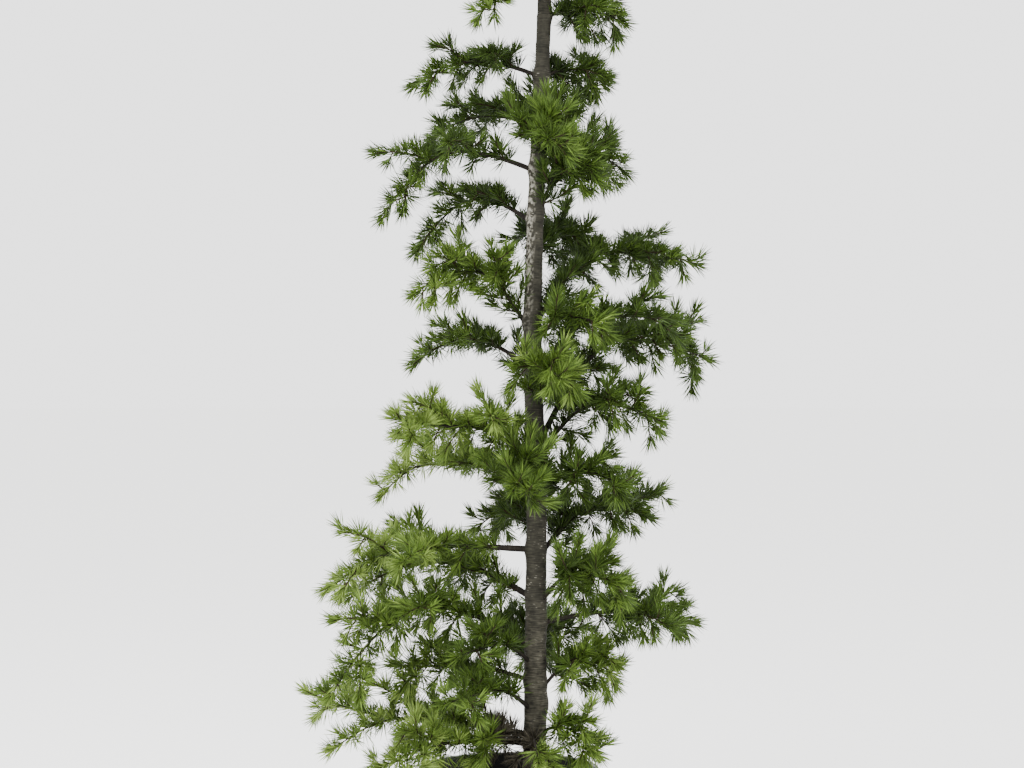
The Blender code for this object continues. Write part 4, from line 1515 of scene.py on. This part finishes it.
@dataclass
class Pot:
    """The nursery pot: a thin moulded shell with a rolled lip, a stacking collar and drain holes."""

    height: float
    rim_radius: float
    foot_radius: float = 0.090
    wall: float = 0.0025
    lip_width: float = 0.005
    lip_height: float = 0.012
    collar_height: float = 0.034
    step: float = 0.003
    foot_height: float = 0.016
    sides: int = 96
    holes: int = 6
    hole_radius: float = 0.007
    hole_circle: float = 0.062
    hole_sides: int = 32
    drill_length: float = 0.02
    edge: float = 0.0008
    edge_segments: int = 2
    edge_from_angle: float = 35
    sharp_from_angle: float = 40

    def radius(self, height: float) -> float:
        """Gives the outer radius of the plain tapering body."""
        return self.foot_radius + (self.rim_radius - self.lip_width - self.foot_radius) * height / self.height

    def profile(self) -> Sequence[tuple[float, float]]:
        """Gives the shell's outline in (radius, height) points, up its inside and down its outside."""
        top, wall, step = self.height, self.wall, self.step
        collar = top - self.collar_height
        lip = top - self.lip_height
        return (
            (0.0, wall),
            (self.foot_radius - step - wall, wall),
            (self.radius(self.foot_height) - step - wall, self.foot_height + wall),
            (self.radius(collar) - step - wall, collar - step),
            (self.radius(collar) - wall, collar),
            (self.radius(top) - wall, top),
            (self.rim_radius, top),
            (self.rim_radius, lip),
            (self.rim_radius - wall, lip),
            (self.rim_radius - wall, top - wall),
            (self.radius(top), top - wall),
            (self.radius(collar), collar),
            (self.radius(collar) - step, collar - step),
            (self.radius(self.foot_height) - step, self.foot_height + step),
            (self.foot_radius, self.foot_height - step),
            (self.foot_radius, 0.0),
            (0.0, 0.0),
        )

    def drill(self, pot: bpy.types.Object, number: int) -> bpy.types.Object:
        """Sets up the cut of one drain hole.

        Args:
            pot: the shell.
            number: which hole it is, from 0.

        Returns:
            The cylinder that makes the cut.
        """
        angle = math.tau * (number + 0.5) / self.holes
        place = (self.hole_circle * math.cos(angle), self.hole_circle * math.sin(angle), 0)
        size = {"vertices": self.hole_sides, "radius": self.hole_radius, "depth": self.drill_length}
        bpy.ops.mesh.primitive_cylinder_add(location=place, **size)
        cut = pot.modifiers.new("drain", "BOOLEAN")
        cut.operation = "DIFFERENCE"
        cut.object = bpy.context.active_object
        return cut.object

    def build(self) -> bpy.types.Object:
        """Makes the shell, drills it, rounds its edges and dresses it."""
        pot = turned_mesh("pot_shell", self.profile(), self.sides)
        drills = [self.drill(pot, number) for number in range(self.holes)]
        rounding = pot.modifiers.new("edges", "BEVEL")
        rounding.width = self.edge
        rounding.segments = self.edge_segments
        rounding.limit_method = "ANGLE"
        rounding.angle_limit = math.radians(self.edge_from_angle)
        graph = bpy.context.evaluated_depsgraph_get()
        pot.data = bpy.data.meshes.new_from_object(pot.evaluated_get(graph))
        pot.modifiers.clear()
        for drill in drills:
            discard(drill)
        pot.data.materials.clear()
        pot.data.materials.append(PotFinish().build())
        pot.data.set_sharp_from_angle(angle=math.radians(self.sharp_from_angle))
        return pot


@dataclass
class Compost:
    """The filling: it follows the pot's wall a hair clear of it, and its top is loose and crumbly."""

    pot: Pot
    top: float
    flat_radius: float = 0.068
    edge_drop: float = 0.006
    gap: float = 0.0003
    sides: int = 120
    top_rings: int = 26
    relief: float = 0.004
    lump_size: float = 0.012
    crumb_radius: float = 0.0024
    crumbs: float = 34_000.0

    def build(self) -> bpy.types.Object:
        """Makes the filling and dresses it."""
        pot = self.pot
        clear = pot.wall + self.gap
        collar = pot.height - pot.collar_height
        edge = self.top - self.edge_drop
        wall_radius = pot.radius(edge) - clear
        profile = [(0.0, self.top)]
        for ring in range(1, self.top_rings + 1):
            radius = wall_radius * ring / self.top_rings
            fall = max(0.0, (radius - self.flat_radius) / (wall_radius - self.flat_radius))
            profile.append((radius, self.top - self.edge_drop * fall))
        profile += [
            (pot.radius(collar) - clear, collar + self.gap),
            (pot.radius(collar) - pot.step - clear, collar - pot.step + self.gap),
            (pot.radius(pot.foot_height) - pot.step - clear, pot.foot_height + clear),
            (pot.foot_radius - pot.step - clear, clear),
            (0.0, clear),
        ]
        host = turned_mesh("compost_bed", profile, self.sides)
        values = {
            "Relief": self.relief,
            "Lump size": self.lump_size,
            "Crumb radius": self.crumb_radius,
            "Crumbs": self.crumbs,
            "Compost finish": CompostFinish().build(),
        }
        return compost_recipe().run(host, values)


@dataclass(frozen=True)
class Studio:
    """A plain pale floor under soft white light, and the camera at the photograph's angle."""

    view_distance: float = 2.783
    view_width: float = 1.3653
    view_offset: float = 0.004
    eye_height: float = 0.732
    sensor: float = 36.0
    floor_radius: float = 60.0
    floor_colour: str = "#fcfcfb"
    floor_sides: int = 96
    floor_roughness: float = 0.9
    floor_specular: float = 0.1
    sky_strength: float = 2.6
    key_energy: float = 230.0
    key_size: float = 2.4
    key_place: tuple[float, float, float] = (-1.3, -1.5, 3.6)
    key_target: tuple[float, float, float] = (0.0, 0.0, 0.9)

    def build(self) -> None:
        """Sets up the floor, the world, the lamp and the camera."""
        self.floor()
        self.sky()
        self.lamp()
        self.camera()

    def floor(self) -> None:
        """Lays a round pale floor that reaches past the horizon of every view."""
        size = {"vertices": self.floor_sides, "radius": self.floor_radius}
        bpy.ops.mesh.primitive_circle_add(fill_type="NGON", **size)
        floor = bpy.context.active_object
        floor.name = "studio_floor"
        colour = linear(self.floor_colour)
        material = Surface("pale_floor").end(colour, self.floor_roughness, self.floor_specular)
        floor.data.materials.append(material)

    def sky(self) -> None:
        """Surrounds the tree with even white light."""
        world = bpy.data.worlds.new("studio_light")
        world.use_nodes = True
        background = world.node_tree.nodes["Background"]
        background.inputs["Color"].default_value = (1.0, 1.0, 1.0, 1.0)
        background.inputs["Strength"].default_value = self.sky_strength
        bpy.context.scene.world = world

    def lamp(self) -> None:
        """Hangs a large soft lamp over the tree's upper left."""
        light = bpy.data.lights.new("soft_box", "AREA")
        light.energy = self.key_energy
        light.size = self.key_size
        lamp = bpy.data.objects.new("soft_box", light)
        lamp.location = self.key_place
        bpy.context.scene.collection.objects.link(lamp)
        aim = Vector(self.key_target) - Vector(self.key_place)
        lamp.rotation_euler = aim.to_track_quat("-Z", "Y").to_euler()

    def camera(self) -> None:
        """Stands the camera level at the middle of the photograph's view."""
        data = bpy.data.cameras.new("view")
        data.sensor_width = self.sensor
        data.lens = self.sensor * self.view_distance / self.view_width
        camera = bpy.data.objects.new("view", data)
        camera.location = (self.view_offset, -self.view_distance, self.eye_height)
        camera.rotation_euler = (math.pi / 2, 0.0, 0.0)
        bpy.context.scene.collection.objects.link(camera)
        bpy.context.scene.camera = camera


def main() -> None:
    """Builds the tree round the frame, piece by piece."""
    logging.basicConfig(level=logging.INFO, format="%(name)s: %(message)s")
    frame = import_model()
    nodes = frame["nodes"]

    foot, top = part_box("trunk")
    stem = Stem(foot=foot.z, top=top.z)
    pot_low, pot_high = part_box("pot")
    pot = Pot(height=pot_high.z, rim_radius=(pot_high.x - pot_low.x) / 2)
    branches = [Branch(stem, *row, has_bough=f"bough_{row[0]}" in nodes) for row in SHOWN_BRANCHES]
    branches += UpperRule().grow(stem)
    crown = Crown(stem, branches, pot.height, pot.rim_radius)
    wood = Wood(stem)
    foliage = Foliage(nodes)
    pieces: list[tuple[bpy.types.Object, str, list[str]]] = []

    pieces.append((wood.trunk(branches), "bark", ["trunk"]))
    for side in ("left", "right", "front", "back", "upper"):
        members = [branch for branch in branches if branch.side() == side]
        grown = [crown.grow(branch) for branch in members]
        boughs = [f"bough_{branch.name}" for branch in members if branch.has_bough]
        masses = [f"foliage_{branch.name}" for branch in members]
        twigs = [shoot for _, shoots, _ in grown for shoot in shoots]
        whorls = [whorl for _, _, found in grown for whorl in found]
        pieces.append((wood.limbs(side, [axis for axis, _, _ in grown]), "bark", boughs))
        pieces.append((wood.twigs(side, twigs, whorls), "bark", []))
        for number, piece in enumerate(foliage.side(side, whorls)):
            pieces.append((piece, "needles", masses if number == 0 else []))
    foliage.clear_away()
    pieces.append((pot.build(), "pot_plastic", ["pot"]))
    pieces.append((Compost(pot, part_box("compost")[1].z).build(), "compost", ["compost"]))
    for piece, slot, stands_for in pieces:
        hand_over(piece, stands_for)
    LOG.info("all pieces: %d triangles", sum(triangles(piece) for piece, _, _ in pieces))

    Studio().build()


if __name__ == "__main__":
    main()
